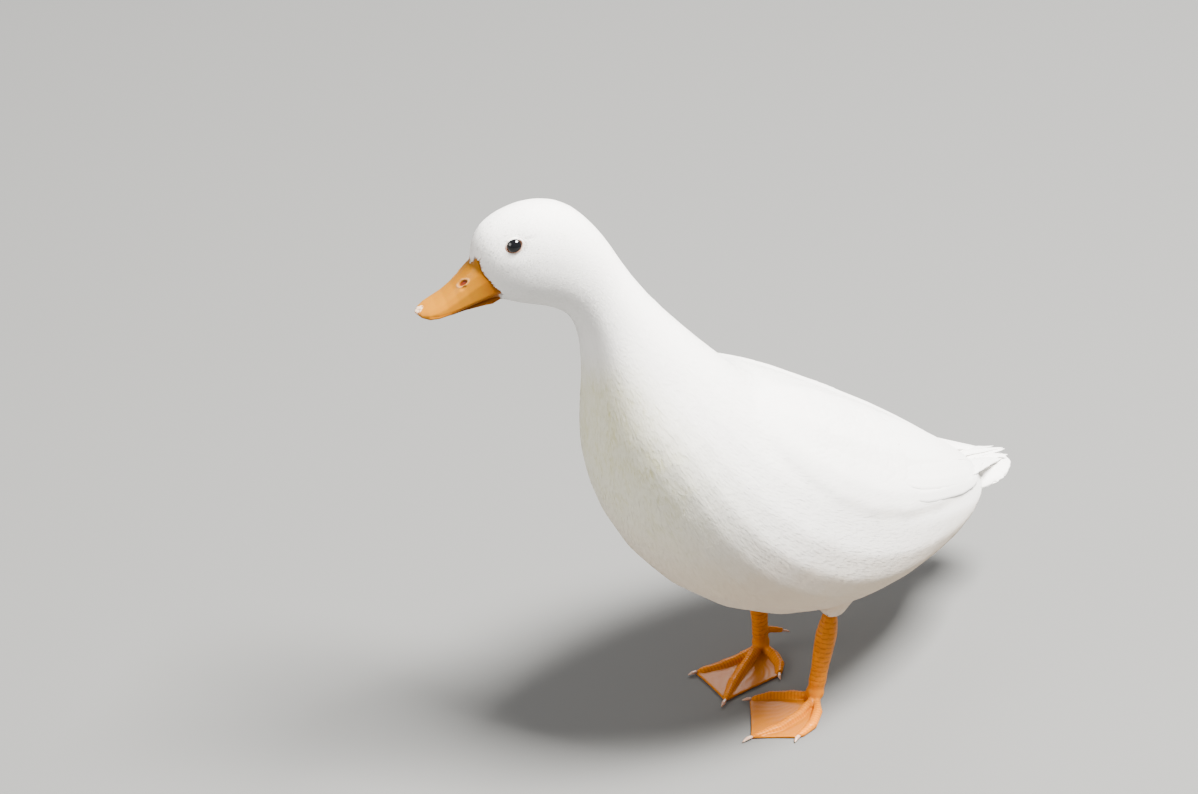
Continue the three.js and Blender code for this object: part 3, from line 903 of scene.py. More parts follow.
def describe_body(mesh):
    """Stores on each vertex of the body what skin, feathers and materials need to know of its place."""
    places, outwards = places_of(mesh), normals_of(mesh)
    found, away, across, above = spine.seen(places)
    share = spine.share[found]
    face = np.clip((FACE_SHARE - share) / FACE_SHARE, 0, 1)
    flow = spine.back[found] + 0.9 * face[:, None] * unit(away)
    wing, thigh = np.zeros(len(places)), np.zeros(len(places))
    for side in SIDES:
        near = nearness(places, f"wing_{side}", WING_BLEND)
        start, end = WING_LINE[side]
        flow = turned_to(flow, end - start, near)
        wing = np.maximum(wing, near)
    for side in SIDES:
        near = nearness(places, f"thigh_{side}", THIGH_BLEND)
        near = near * (1 - smoothstep(places[:, 2], *THIGH_TOP))
        low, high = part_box(f"thigh_{side}")
        top = Vector(((low.x + high.x) / 2, (low.y + high.y) / 2, high.z))
        flow = turned_to(flow, SHANK[side][1] - top, near)
        thigh = np.maximum(thigh, near)
    flow = spread(mesh, flow, 30)
    lie = unit(flow - (flow * outwards).sum(1)[:, None] * outwards)
    depth = np.interp(share, COAT_AT, COAT_DEPTH) * (1 - 0.35 * wing) * (1 - 0.4 * thigh)
    past = np.degrees(np.abs(np.arctan2(across, above))) - np.interp(share, *WING_REAR_EDGE)
    behind = smoothstep(past, 0.5, 3.0) * (1 - smoothstep(past, 8, 16))
    sunk = 0.45 * behind * smoothstep(share, *WING_REAR_START) * (1 - smoothstep(share, *WING_REAR_END))
    depth = depth * (1 - sunk)
    thick = thickness_of(mesh, 0.02)
    thin = np.where(share > 0.3, np.minimum(depth, 0.3 * thick), depth)
    depth = spread(mesh, thin, 8)
    store(mesh, "lie", lie)
    store(mesh, "outwards", spread(mesh, outwards, 4))
    store(mesh, "unwrap", np.pad(unwrapped(share, across, above), ((0, 0), (0, 1))))
    room, cover = eye_room(places), face_cover(places)
    length = np.interp(share, COAT_AT, COAT_LENGTH) * (1 - 0.45 * thigh)
    store_shares(
        mesh, share=share, across=across, above=above, depth=depth, wing=wing, bare=1 - cover,
        loft=(1 - 0.6 * crease(places)) * (0.4 + 0.6 * smoothstep(room, 0.0, 0.009)),
        length=np.minimum(length, 0.0004 + 0.9 * room),
        width=np.interp(share, COAT_AT, COAT_WIDTH) * (1 - 0.3 * thigh),
        cover=cover * eye_cover(places),
    )
    return depth


def paint_body(mesh):
    """The plumage's colours by place, the same on skin and coat, with painted shade under the body and
    along the fold behind each eye.
    """
    share, across, above = (values_of(mesh, name) for name in ("share", "across", "above"))
    below = smoothstep(-normals_of(mesh)[:, 2], -0.2, 0.5)
    front = smoothstep(np.abs(np.arctan2(across, above)), 1.4, 2.6)
    neck = smoothstep(share, 0.2, 0.26) * (1 - smoothstep(share, 0.30, 0.50))
    # The cream on downward-facing breast and belly is painted shade and warm bounce light, over the
    # faint real cream of clean feathers.
    store_shares(mesh, cream=PLAIN_CREAM + 0.85 * below * smoothstep(share, 0.3, 0.5),
                 # The lower tone along the fold behind each eye is painted shade.
                 soil=0.75 * front * neck, tone=1 - 0.5 * crease(places_of(mesh)))


def body_bed(cell):
    """The feathered body as one closed surface, at the level of the skin under its coat."""
    fillers = [(f"eye_{side}", -0.0003) for side in SIDES]
    fillers += [("bill_upper", -0.0007), ("bill_lower", -0.0004)]
    bed = joined_copy("bed", FEATHERED + fillers, swell=CUT_SWELL)
    remeshed(bed, cell, 24)
    without_islands(bed)
    mesh = bed.data
    depth = describe_body(mesh)
    paint_body(mesh)
    put_places(mesh, places_of(mesh) - normals_of(mesh) * depth[:, None])
    return bed


PLATE_RISE, GROOVE_DEPTH, GROOVE_WIDTH = 0.00011, 0.00013, 0.00032
JOINT_BALL = 0.0058  # radius of the round joint that the toes spring from
TOE_PITCH = 0.0021  # length of one plate on the toes
KNUCKLES = (0.015, 0.029, 0.042)  # their distances from the toe joint
KNUCKLE_WIDTH = 0.0024
WEB_THICKNESS = (0.0019, 0.0028)  # skin thinner than the first is web, and thicker than the second toe
FOOT_TOP = (0.008, 0.011)  # heights where the foot goes over into the shank
FLOOR_GAP = 0.0001  # nothing comes lower than this


def plates(along, pitch):
    """Height and groove of overlapping plates at distances along a leg or toe."""
    place = (along / pitch) % 1
    gap = np.minimum(place, 1 - place) * pitch
    groove = np.exp(-(gap / GROOVE_WIDTH) ** 2)
    return PLATE_RISE * np.sin(math.pi * place) - GROOVE_DEPTH * groove, groove


def above_floor(places):
    """The same places, with those that are too low lifted."""
    return np.column_stack([places[:, :2], np.maximum(places[:, 2], FLOOR_GAP)])


def ankle(middle, radius):
    """The ball of the toe joint."""
    mesh = bpy.data.meshes.new("ankle")
    with edited(mesh) as work:
        bmesh.ops.create_icosphere(work, subdivisions=4, radius=radius)
        bmesh.ops.translate(work, verts=work.verts, vec=middle)
    return new_object("ankle", mesh)


def scaled_leg(side, cell, pitch):
    """A shank and its webbed foot in one surface, with plates, toe joints and wrinkles."""
    leg = joined_copy(f"leg_{side}", [f"shank_{side}", f"foot_{side}"], swell=0.0002)
    joint, hock = SHANK[side]
    leg = joined_objects(leg, ankle(joint + Vector((0, 0, 0.0006)), JOINT_BALL))
    remeshed(leg, cell, 3)
    without_islands(leg)
    mesh = leg.data
    places = places_of(mesh)
    at_joint = np.exp(-(((places - np.array(joint + Vector((0, 0, 0.001)))) ** 2).sum(1) / 0.0085**2))
    soft = spread(mesh, places, 40)
    put_places(mesh, places + (0.85 * at_joint)[:, None] * (soft - places))

    places, outwards = places_of(mesh), normals_of(mesh)
    away = places - np.array(joint)
    up_leg = away @ np.array((hock - joint).normalized())
    reach = np.hypot(away[:, 0], away[:, 1])
    ahead = np.array((math.cos(HEADING[side]), math.sin(HEADING[side]), 0.2))
    thick = spread(mesh, thickness_of(mesh, 0.006), 2)
    foot = 1 - smoothstep(places[:, 2], *FOOT_TOP)
    web = (1 - smoothstep(thick, *WEB_THICKNESS)) * foot
    front = smoothstep(outwards @ ahead, -0.55, 0.1)
    straight = smoothstep(up_leg, 0.008, 0.014)
    places = places + straight[:, None] * (spread(mesh, places, 24) - places)
    shank = smoothstep(up_leg, 0.005, 0.009) * (1 - foot * 0.9)
    upward = smoothstep(outwards[:, 2], 0.1, 0.5)
    toe = upward * smoothstep(reach, 0.005, 0.009) * (1 - web) * (1 - shank)

    facing = np.arctan2(outwards[:, 1], outwards[:, 0]) - HEADING[side]
    ragged = 0.00035 * np.sin(facing * 5 + up_leg * 900) + 0.0002 * np.sin(facing * 11 - up_leg * 1700)
    shank_rise, shank_groove = plates(up_leg + ragged, pitch)
    back_rise, back_groove = plates(up_leg + 0.5 * pitch * np.sin(facing * 9), 0.55 * pitch)
    shank_rise = front * shank_rise + (1 - front) * 0.5 * back_rise
    shank_groove = front * shank_groove + (1 - front) * 0.6 * back_groove
    toe_rise, toe_groove = plates(reach, TOE_PITCH)
    knuckles = sum(np.exp(-((reach - place) / KNUCKLE_WIDTH) ** 2) for place in KNUCKLES)
    bearing = np.arctan2(away[:, 1], away[:, 0])
    wrinkles = np.sin(bearing * 46 + 3 * np.sin(reach * 190)) * smoothstep(reach, 0.010, 0.018)
    fine = np.sin(math.tau * up_leg / 0.0013 + 2.4 * np.sin(2 * facing + up_leg * 800))
    uneven = 0.5 + 0.5 * np.sin(3 * facing + up_leg * 430)
    rise = (shank * (shank_rise + 0.00007 * fine * uneven) + toe * 0.8 * toe_rise
            + toe * 0.00035 * knuckles + web * 0.00005 * wrinkles)
    put_places(mesh, above_floor(places + outwards * rise[:, None]))
    # groove marks the grooves and wrinkle troughs, where the skin's colour carries painted shade
    shank_groove = np.maximum(shank_groove, 0.55 * smoothstep(-fine, 0.5, 1.0) * uneven)
    store_shares(mesh, web=web, groove=np.maximum(shank * shank_groove, toe * toe_groove * 0.8))
    return leg


LID_TURNS = 72
# How much of the lids' own colour each point of their profile has, in the lower lid and in the corner.
LOWER_RIM = (1.0, 1.0, 1.0, 0.9, 0.5, 0.15, 0, 0, 0)
CORNER_RIM = (1.0, 1.0, 1.0, 1.0, 1.0, 0.9, 0.5, 0, 0)


def lid_ring(side, surface):
    """The rim of bare skin round an eye, lying on the ball and running out into the face."""
    eye = EYES[side]
    vertices, rims = [], []
    for step in range(LID_TURNS):
        turn = math.tau * step / LID_TURNS
        c, s = math.cos(turn), math.sin(turn)

        def edge(grow, height):
            ahead, up = (EYE_OPENING[0] + grow) * c, (EYE_OPENING[1] + grow) * s
            return eye.middle + eye.front * ahead + eye.top * up + eye.out * height

        def ball(grow):
            across = math.hypot((EYE_OPENING[0] + grow) * c, (EYE_OPENING[1] + grow) * s)
            return math.sqrt(max(eye.radius**2 - across**2, 0))

        def face(grow):
            hit = surface.ray_cast(edge(grow, 0.02), -eye.out)[0]
            return (hit - eye.middle).dot(eye.out)

        crest = max(ball(0.0002) + 0.00026, face(0.0016) + 0.0007)
        outer = face(0.0020)
        profile = (  # how far outside the opening, and how high over the eye's middle
            (-0.00060, ball(-0.0006) - 0.0005),
            (-0.00018, ball(-0.00018) + 0.00004),
            (0.00005, crest - 0.00010),
            (0.00028, crest),
            (0.00065, 0.7 * crest + 0.3 * outer),
            (0.00130, 0.3 * crest + 0.7 * outer),
            (0.00210, outer + 0.0001),
            (0.00280, face(0.0028) - 0.0007),
            (0.00120, outer - 0.0024),
        )
        lower = min(0.5 - 0.5 * s + 0.5 * max(c, 0), 1.0)
        corner = max(c, 0) ** 12
        vertices += [edge(grow, height) for grow, height in profile]
        rims += [max(first * lower, second * corner) for first, second in zip(LOWER_RIM, CORNER_RIM)]
    count = len(LOWER_RIM)
    faces = [(step * count + k, step * count + (k + 1) % count,
              (step + 1) % LID_TURNS * count + (k + 1) % count, (step + 1) % LID_TURNS * count + k)
             for step in range(LID_TURNS) for k in range(count)]
    ring = new_object(f"lids_{side}", mesh_from(f"lids_{side}", vertices, faces))
    outward_faces(ring.data)
    store_shares(ring.data, rim=rims)
    return ring


def carry_values(mesh, sources, names):
    """Copies named values to each vertex from the nearest vertex of the source meshes.

    Faces get the material of the source that they came from.
    """
    places = [places_of(source) for source in sources]
    lookup = KDTree(sum(len(part) for part in places))
    origin, given = [], {name: [] for name in names}
    for number, source in enumerate(sources):
        for place in places[number]:
            lookup.insert(place, len(origin))
            origin.append(number)
        for name in names:
            known = name in source.attributes
            given[name].append(values_of(source, name) if known else np.zeros(len(source.vertices)))
    lookup.balance()
    nearest = np.array([lookup.find(place)[1] for place in places_of(mesh)])
    for name in names:
        store(mesh, name, np.concatenate(given[name])[nearest], "FLOAT")
    owner = np.array(origin)[nearest]
    for face in mesh.polygons:
        face.material_index = int(np.max(owner[list(face.vertices)]))


class DUCK_OT_skin(bpy.types.Operator):
    """Makes the one skin that lies under all the feathers and shows on legs, feet and lids"""

    bl_idname = "duck.skin"
    bl_label = "Skin"

    def execute(self, context):
        sizes = context.scene.duck_sizes
        finish = Finish()
        bed = body_bed(sizes.skin_cell)
        skin = new_object("skin", bed.data.copy())
        thin = skin.modifiers.new("Thin", "DECIMATE")
        thin.ratio = 0.4
        applied(skin)
        legs = [scaled_leg(side, sizes.leg_cell, sizes.scute_pitch) for side in SIDES]
        surface = search_tree(bed.data)
        lids = [lid_ring(side, surface) for side in SIDES]
        sources = [skin.data.copy(), joined_meshes("legs", legs), joined_meshes("lids", lids)]
        for part in legs + lids:
            combined(skin, part, "UNION")
        carry_values(skin.data, sources, ("cream", "soil", "tone", "bare", "web", "groove", "rim"))
        for source in sources:
            bpy.data.meshes.remove(source)
        finished(skin, [finish.down(), finish.leg_skin(), finish.lid_skin()], FEATHERED + LEGS)
        return {"FINISHED"}


# ---------------------------------------------------------------- bill, eyes and claws

CAP_HALF = 0.02  # half the width of the block that the skin on the forehead is cut out with
PEAK_REACH = (0.115, 0.140)  # where the block under the point of feathers begins and ends
NOSTRIL_TILT = math.radians(38)
# Heights by forward reach: the lower edge of the upper bill, and the upper edge of the lower one.
LIP = ((0.110, 0.120, 0.130, 0.140, 0.150, 0.156, 0.161),
       (0.333, 0.3302, 0.3262, 0.3232, 0.3212, 0.3205, 0.321))
BRIM = ((0.110, 0.120, 0.130, 0.140, 0.155), (0.3311, 0.3290, 0.3255, 0.3225, 0.3205))
SLIM = ((0.1095, 0.1125, 0.117, 0.124, 0.133, 0.150),  # how much of its depth the lower one loses
        (0.90, 0.50, 0.10, 0.40, 0.75, 0.60))
LIP_STATIONS = 40
EYE_RINGS, EYE_TURNS = 26, 48
EYE_DOME = 0.03  # how much the front of an eyeball stands out, as a share of its radius
CLAW_CELL = 0.00028


class DUCK_OT_bill(bpy.types.Operator):
    """Makes both halves of the bill, with nail, nostrils and the ridge along its lip"""

    bl_idname = "duck.bill"
    bl_label = "Bill"

    def execute(self, context):
        cell = context.scene.duck_sizes.bill_cell
        finish = Finish()
        upper = joined_copy("bill_upper_skin", ["bill_upper"], swell=0.00005)
        cap = joined_copy("cap", ["head"])
        combined(cap, self.cap_block(), "INTERSECT")
        combined(cap, self.peak(), "DIFFERENCE")
        upper = joined_objects(upper, cap)
        remeshed(upper, cell, 6)
        without_islands(upper)
        self.blend_cap(upper.data)
        self.carve_upper(upper.data)
        lower = joined_copy("bill_lower_skin", ["bill_lower"])
        remeshed(lower, cell, 4)
        without_islands(lower)
        self.carve_lower(lower.data)
        finished(upper, [finish.bill()], ["bill_upper"])
        finished(lower, [finish.bill()], ["bill_lower"])
        return {"FINISHED"}

    def cap_block(self):
        """A block across the head, round the bare skin that runs up the forehead."""
        near, far = ([from_head(reach, side * CAP_HALF, height) for reach, height in CULMEN_CAP]
                     for side in (-1, 1))
        return prism("cap_block", near, far)

    def peak(self):
        """A block under the point of feathers that comes down the middle of the forehead."""
        section = list(zip(PEAK_AT, PEAK_HEIGHT))
        section = [(-left, up) for left, up in reversed(section[1:])] + section
        section += [(PEAK_AT[-1], PEAK_HEIGHT[-1] + 0.002), (-PEAK_AT[-1], PEAK_HEIGHT[-1] + 0.002)]
        near, far = ([from_head(reach, left, up) for left, up in section] for reach in PEAK_REACH)
        return prism("peak", near, far)

    def blend_cap(self, mesh):
        """Rounds the hollow where the top of the bill meets the forehead."""
        places = places_of(mesh)
        ahead, _, up = in_head(places).T
        near = smoothstep(up, 0.3445, 0.3475) * smoothstep(ahead, 0.1215, 0.1235)
        soft = spread(mesh, places, 40)
        put_places(mesh, places + near[:, None] * (soft - places))

    def carve_upper(self, mesh):
        """Presses in the groove over the lip, the nostrils and the edge of the nail."""
        places, outwards = places_of(mesh), normals_of(mesh)
        ahead, left, up = in_head(places).T
        aside = np.abs(left)
        over = up - self.lip_height(ahead, up, aside)
        along = smoothstep(ahead, 0.112, 0.118) * (1 - smoothstep(ahead, 0.150, 0.156))
        side = smoothstep(aside, 0.005, 0.008)
        groove = np.exp(-((over - 0.0025) / 0.00045) ** 2) * along * side
        swell = np.exp(-((over - 0.0012) / 0.0008) ** 2) * along * side

        c, s = math.cos(NOSTRIL_TILT), math.sin(NOSTRIL_TILT)
        nose_ahead, nose_up = ahead - NOSTRIL[0], up - NOSTRIL[1]
        long, wide = nose_ahead * c - nose_up * s, nose_ahead * s + nose_up * c
        ring = np.hypot(long / NOSTRIL_HALF[0], wide / NOSTRIL_HALF[1])
        near = smoothstep(aside, 0.003, 0.005)
        rim = np.exp(-((ring - 1.2) / 0.22) ** 2) * near
        pit = (1 - smoothstep(ring, 0.6, 1.0)) * near

        horn = np.hypot((ahead - NAIL[0]) / NAIL[1], left / NAIL[2])
        nail = (1 - smoothstep(horn, 0.86, 1.0)) * smoothstep(outwards[:, 2] + outwards[:, 0], -0.1, 0.3)
        seam = np.exp(-((horn - 1.0) / 0.07) ** 2) * (outwards[:, 2] > -0.2)
        rise = (-0.00016 * groove + 0.00012 * swell + 0.00022 * rim - 0.0007 * pit + 0.00016 * nail
                - 0.00008 * seam)
        put_places(mesh, places + outwards * rise[:, None])
        base = 1 - smoothstep(ahead, 0.1145, 0.128)
        store_shares(mesh, base=np.minimum(0.6 * base + 0.7 * groove, 1), nail=nail * 0.8, pit=pit,
                     pale=rim * 0.2)

    def lip_height(self, ahead, up, aside):
        """Height of the upper bill's lower edge at each forward reach."""
        stations = np.linspace(ahead.min(), ahead.max(), LIP_STATIONS)
        wide = aside > 0.5 * aside.max()
        lowest = np.interp(stations, *LIP)
        for number, station in enumerate(stations):
            near = wide & (np.abs(ahead - station) < 0.001)
            if near.any():
                lowest[number] = up[near].min()
        return np.interp(ahead, stations, lowest)

    def carve_lower(self, mesh):
        """Thins the lower bill forwards, under the lip of the upper one, and to a point at the gape."""
        places = places_of(mesh)
        ahead, _, up = in_head(places).T
        places[:, 2] += np.interp(ahead, *SLIM) * np.maximum(np.interp(ahead, *BRIM) - up, 0)
        put_places(mesh, places)
        store_shares(mesh, base=0.2 + 0.5 * (1 - smoothstep(ahead, 0.112, 0.135)),
                     nail=0.4 * smoothstep(ahead, 0.151, 0.154), pit=0.0, pale=0.0)


class DUCK_OT_eyes(bpy.types.Operator):
    """Makes both eyeballs, domed in front, with a dark iris and pupil"""

    bl_idname = "duck.eyes"
    bl_label = "Eyes"

    def execute(self, context):
        finish = Finish()
        for side in SIDES:
            ball, aways = self.ball(f"eyeball_{side}", EYES[side])
            outward_faces(ball.data)
            store_shares(ball.data, away=aways)
            finished(ball, [finish.eye()], [f"eye_{side}"])
        return {"FINISHED"}

    def ball(self, name, eye):
        """The eyeball, and how far each of its points lies from the pupil's middle, 1 at its rim."""
        vertices, faces, aways = [eye.middle + eye.out * eye.radius * (1 + EYE_DOME)], [], [0.0]
        for ring in range(1, EYE_RINGS):
            angle = math.pi * ring / EYE_RINGS
            bulge = 1 + EYE_DOME * math.exp(-((angle / 0.6) ** 2))
            for turn in range(EYE_TURNS):
                around = math.tau * turn / EYE_TURNS
                across = eye.front * math.cos(around) + eye.top * math.sin(around)
                vertices.append(eye.middle + eye.radius * bulge
                                * (eye.out * math.cos(angle) + across * math.sin(angle)))
                aways.append(angle / (math.pi / 2))
        vertices.append(eye.middle - eye.out * eye.radius)
        aways.append(2.0)
        last = len(vertices) - 1
        hindmost = 1 + (EYE_RINGS - 2) * EYE_TURNS
        for turn in range(EYE_TURNS):
            after = (turn + 1) % EYE_TURNS
            faces.append((0, 1 + turn, 1 + after))
            faces.append((last, hindmost + after, hindmost + turn))
            for first in range(1, hindmost, EYE_TURNS):
                second = first + EYE_TURNS
                faces.append((first + turn, second + turn, second + after, first + after))
        return new_object(name, mesh_from(name, vertices, faces)), aways


class DUCK_OT_claws(bpy.types.Operator):
    """Makes the horn claws, rounded from their solids"""

    bl_idname = "duck.claws"
    bl_label = "Claws"

    def execute(self, context):
        nodes = [f"claw_{side}_{toe}" for side in SIDES for toe in TOES]
        claws = remeshed(joined_copy("claws", nodes), CLAW_CELL, 3)
        put_places(claws.data, above_floor(places_of(claws.data)))
        finished(claws, [Finish().claw()], nodes)
        return {"FINISHED"}


# ---------------------------------------------------------------- feathers

BLADE_RISE = 0.1  # how high a blade is arched, as a share of its width


def blade_mesh(name, stations, across):
    """A thin closed blade, one unit long and wide, with places along and across it kept as vane."""
    vertices, vanes, faces, rings, borders = [], [], [], [], []
    for along, width in stations:
        ring = []
        for number in range(across if width else 1):
            side = 2 * number / (across - 1) - 1 if width else 0.0
            arch = (1 - side * side) * bool(width)
            ring.append(len(vertices))
            vertices.append((along, side * width / 2, BLADE_RISE * arch))
            vanes.append((side * width, along, arch))
        rings.append(ring)
    for one, two in zip(rings, rings[1:]):
        if len(one) == 1:
            faces += [(one[0], b, a) for b, a in zip(two[1:], two)] + [(one[0], two[0], two[-1])]
        elif len(two) == 1:
            faces += [(two[0], a, b) for b, a in zip(one[1:], one)] + [(two[0], one[-1], one[0])]
        else:
            faces += [(a, c, d, b) for a, b, c, d in zip(one, one[1:], two, two[1:])]
            faces.append((one[0], one[-1], two[-1], two[0]))
        for end in (0, -1):
            borders.append({one[end], two[end]})
    mesh = mesh_from(name, vertices, faces)
    outward_faces(mesh)
    shade_smooth(mesh)
    for edge in mesh.edges:
        edge.use_edge_sharp = set(edge.vertices) in borders
    store(mesh, "vane", vanes)
    return mesh


BLADES = {  # places along the feather with its relative width there, and points across it
    "wisp": ([(0, 0), (0.13, 0.75), (0.6, 1.0), (1, 0)], 3),
    "lock": ([(0, 0), (0.12, 0.7), (0.45, 1.0), (0.8, 0.7), (1, 0)], 3),
    "covert": ([(0, 0), (0.12, 0.5), (0.35, 0.88), (0.62, 1.0), (0.82, 0.86), (0.94, 0.5), (1, 0)], 5),
}


def blade(kind):
    """The object that a tree of feathers repeats."""
    stations, across = BLADES[kind]
    return new_object(f"blade_{kind}", blade_mesh(f"blade_{kind}", stations, across))


def feather_tree():
    """Feathers at scattered places of a surface, laid along the coat on the skin."""
    name = "Feathers"
    if name in bpy.data.node_groups:
        return bpy.data.node_groups[name]
    group = bpy.data.node_groups.new(name, "GeometryNodeTree")
    sockets = (
        ("Roots", "Geometry", None), ("Skin", "Object", None), ("Blade", "Object", None),
        ("Material", "Material", None), ("Spacing", "Float", 0.002), ("Ruffle", "Float", 0.2),
        ("Clump", "Float", 0.2), ("Clump Size", "Float", 0.006), ("Layering", "Float", 0.07),
        ("Climb", "Float", 0.15), ("Thickness", "Float", 0.0001), ("Seed", "Int", 1),
    )
    for socket, kind, default in sockets:
        made = group.interface.new_socket(socket, in_out="INPUT", socket_type=f"NodeSocket{kind}")
        if default is not None:
            made.default_value = default
    group.interface.new_socket("Feathers", in_out="OUTPUT", socket_type="NodeSocketGeometry")
    tree = Tree(group)
    given = tree.add("NodeGroupInput").outputs
    skin, shape = (tree.add("GeometryNodeObjectInfo", {"Object": given[each]}).outputs["Geometry"]
                   for each in ("Skin", "Blade"))
    place = tree.add("GeometryNodeInputPosition").outputs[0]

    # Roots, scattered where the tract is open, and the direction and size of each feather.
    packing = tree.math("DIVIDE", 4.0, tree.product(given["Spacing"], given["Spacing"]))
    points = tree.add("GeometryNodeDistributePointsOnFaces", {
        "Mesh": given["Roots"], "Distance Min": given["Spacing"], "Density Max": packing,
        "Density Factor": tree.number("tract"), "Seed": given["Seed"],
    }, distribute_method="POISSON").outputs["Points"]
    outwards, lie = tree.named("outwards"), tree.named("lie")
    bent = tree.product(tree.math("SUBTRACT", tree.noise(place, 55.0), 0.5), given["Ruffle"], 3.0)
    wander = tree.product(tree.random(-0.5, 0.5, given["Seed"], 1), given["Ruffle"])
    turned = tree.add("ShaderNodeVectorRotate", {"Vector": lie, "Axis": outwards,
                                                 "Angle": tree.math("ADD", bent, wander)},
                      rotation_type="AXIS_ANGLE").outputs[0]
    rotation = tree.add("FunctionNodeAxesToRotation", {
        "Primary Axis": outwards, "Secondary Axis": turned,
    }, primary_axis="Z", secondary_axis="X").outputs[0]
    length = tree.product(tree.number("length"), tree.random(0.78, 1.2, given["Seed"], 2))
    width = tree.product(tree.number("width"), tree.random(0.75, 1.25, given["Seed"], 3))
    scale = tree.add("ShaderNodeCombineXYZ", {"X": length, "Y": width, "Z": width}).outputs[0]
    points = tree.stored(points, "root", place, "FLOAT_VECTOR", "POINT")
    points = tree.stored(points, "layer", tree.random(0.0, 1.0, given["Seed"], 4), "FLOAT", "POINT")
    feathers = tree.add("GeometryNodeInstanceOnPoints", {
        "Points": points, "Instance": shape, "Rotation": rotation, "Scale": scale,
    }).outputs[0]
    feathers = tree.add("GeometryNodeRealizeInstances", {0: feathers}).outputs[0]

    # Each feather's points move towards the middle of its clump and down onto the skin.
    vane = tree.add("ShaderNodeSeparateXYZ", {0: tree.named("vane")}).outputs
    root, layer = tree.named("root"), tree.number("layer")
    grid = tree.math("DIVIDE", 1.0, given["Clump Size"])
    cells = tree.add("ShaderNodeTexVoronoi", {"Vector": root, "Scale": grid}).outputs["Position"]
    pull = tree.product(tree.math("POWER", vane["Y"], 1.5), given["Clump"])
    shift = tree.vector("SCALE", tree.vector("SUBTRACT", cells, root), pull)
    moved = tree.vector("ADD", place, shift)
    near = tree.nearest(skin, place, moved)
    normal = tree.add("ShaderNodeVectorMath", {0: tree.nearest(skin, outwards, moved)},
                      operation="NORMALIZE").outputs[0]
    depth, loft = (tree.nearest(skin, tree.number(each), moved, "FLOAT") for each in ("depth", "loft"))
    rooted = tree.product(tree.ramp(vane["Y"], -0.02, 0.12), 0.82)
    climb = tree.math("ADD", rooted, tree.product(vane["Y"], given["Climb"]))
    lower = tree.math("SUBTRACT", 1.0, tree.product(layer, given["Layering"]))
    level = tree.product(depth, loft, tree.product(lower, climb))
    height = tree.math("ADD", level, tree.product(vane["Z"], given["Thickness"]))
    laid = tree.vector("ADD", near, tree.vector("SCALE", normal, height))
    feathers = tree.add("GeometryNodeSetPosition", {"Geometry": feathers, "Position": laid}).outputs[0]

    # Its patch on the bake map, and its shade and stain.
    patch = tree.add("ShaderNodeCombineXYZ", {"X": tree.product(vane["X"], 0.5),
                                              "Y": tree.math("SUBTRACT", vane["Y"], 0.5)}).outputs[0]
    spot = tree.vector("ADD", tree.named("unwrap"), tree.vector("SCALE", patch, BAKE_PATCH))
    feathers = tree.stored(feathers, "OFBake", spot, "FLOAT2", "CORNER")
    patchy = tree.product(tree.noise(root, 140.0, 2.0), -0.5)
    shade = tree.math("ADD", tree.product(layer, -0.45), patchy)
    tone = tree.math("ADD", tree.number("tone"), shade)
    feathers = tree.stored(feathers, "tone", tone, "FLOAT", "POINT")
    streak = tree.product(tree.ramp(tree.noise(root, 110.0, 2.0), 0.38, 0.62), layer)
    kept = tree.math("ADD", tree.product(streak, 0.6), 0.55)
    feathers = tree.stored(feathers, "soil", tree.product(tree.number("soil"), kept), "FLOAT", "POINT")
    feathers = tree.add("GeometryNodeSetMaterial", {"Geometry": feathers, "Material": given["Material"]})
    tree.give(feathers.outputs[0], tree.add("NodeGroupOutput"), 0)
    return group


KEPT_VALUES = ("vane", "tone", "cream", "soil", "OFBake", "position", "sharp_edge", "material_index")


def feathers_on(name, mesh, **inputs):
    """One piece of the coat, grown by the tree of feathers on a surface."""
    made = new_object(name, mesh)
    grow = made.modifiers.new("Feathers", "NODES")
    group = feather_tree()
    grow.node_group = group
    for item in group.interface.items_tree:
        given = item.name.lower().replace(" ", "_")
        if item.in_out == "INPUT" and given in inputs:
            grow[item.identifier] = inputs[given]
    applied(made)
    layers = made.data.attributes
    for layer in [each.name for each in layers]:
        if layer not in KEPT_VALUES and not layer.startswith("."):
            layers.remove(layers[layer])
    return made


COAT_SEED, COVERT_SEED = 3, 31  # the seed of the first tract, and of the first wing's coverts
COAT_ON_WING = 0.46  # up to this share of the spine the coat lies over the wing
COVERT_SHARES = (0.44, 0.64)  # shares of the spine between which the wing has its small coverts
COVERT_AT = (0.44, 0.55, 0.8)  # shares where their length and width are given
COVERT_LENGTH = (0.012, 0.016, 0.018)
COVERT_WIDTH = (0.005, 0.008, 0.009)
TRACTS = (  # name, first and last share of the spine, spacing, blade, thickness, ruffle, clump, its size
    ("coat_head", -1.0, 0.11, 0.00058, "wisp", 0.00003, 0.07, 0.04, 0.003),
    ("coat_crown", 0.11, 0.18, 0.00060, "wisp", 0.00004, 0.08, 0.05, 0.004),
    ("coat_nape", 0.18, 0.26, 0.00072, "lock", 0.00004, 0.07, 0.06, 0.005),
    ("coat_neck", 0.26, 0.35, 0.00090, "lock", 0.00004, 0.06, 0.08, 0.007),
    ("coat_shoulders", 0.35, 0.44, 0.00105, "lock", 0.00004, 0.06, 0.08, 0.008),
    ("coat_breast", 0.44, 0.55, 0.00112, "lock", 0.00004, 0.05, 0.08, 0.008),
    ("coat_belly", 0.55, 0.70, 0.00135, "lock", 0.00004, 0.05, 0.08, 0.009),
    ("coat_vent", 0.70, 2.0, 0.00140, "lock", 0.00004, 0.05, 0.08, 0.009),
)


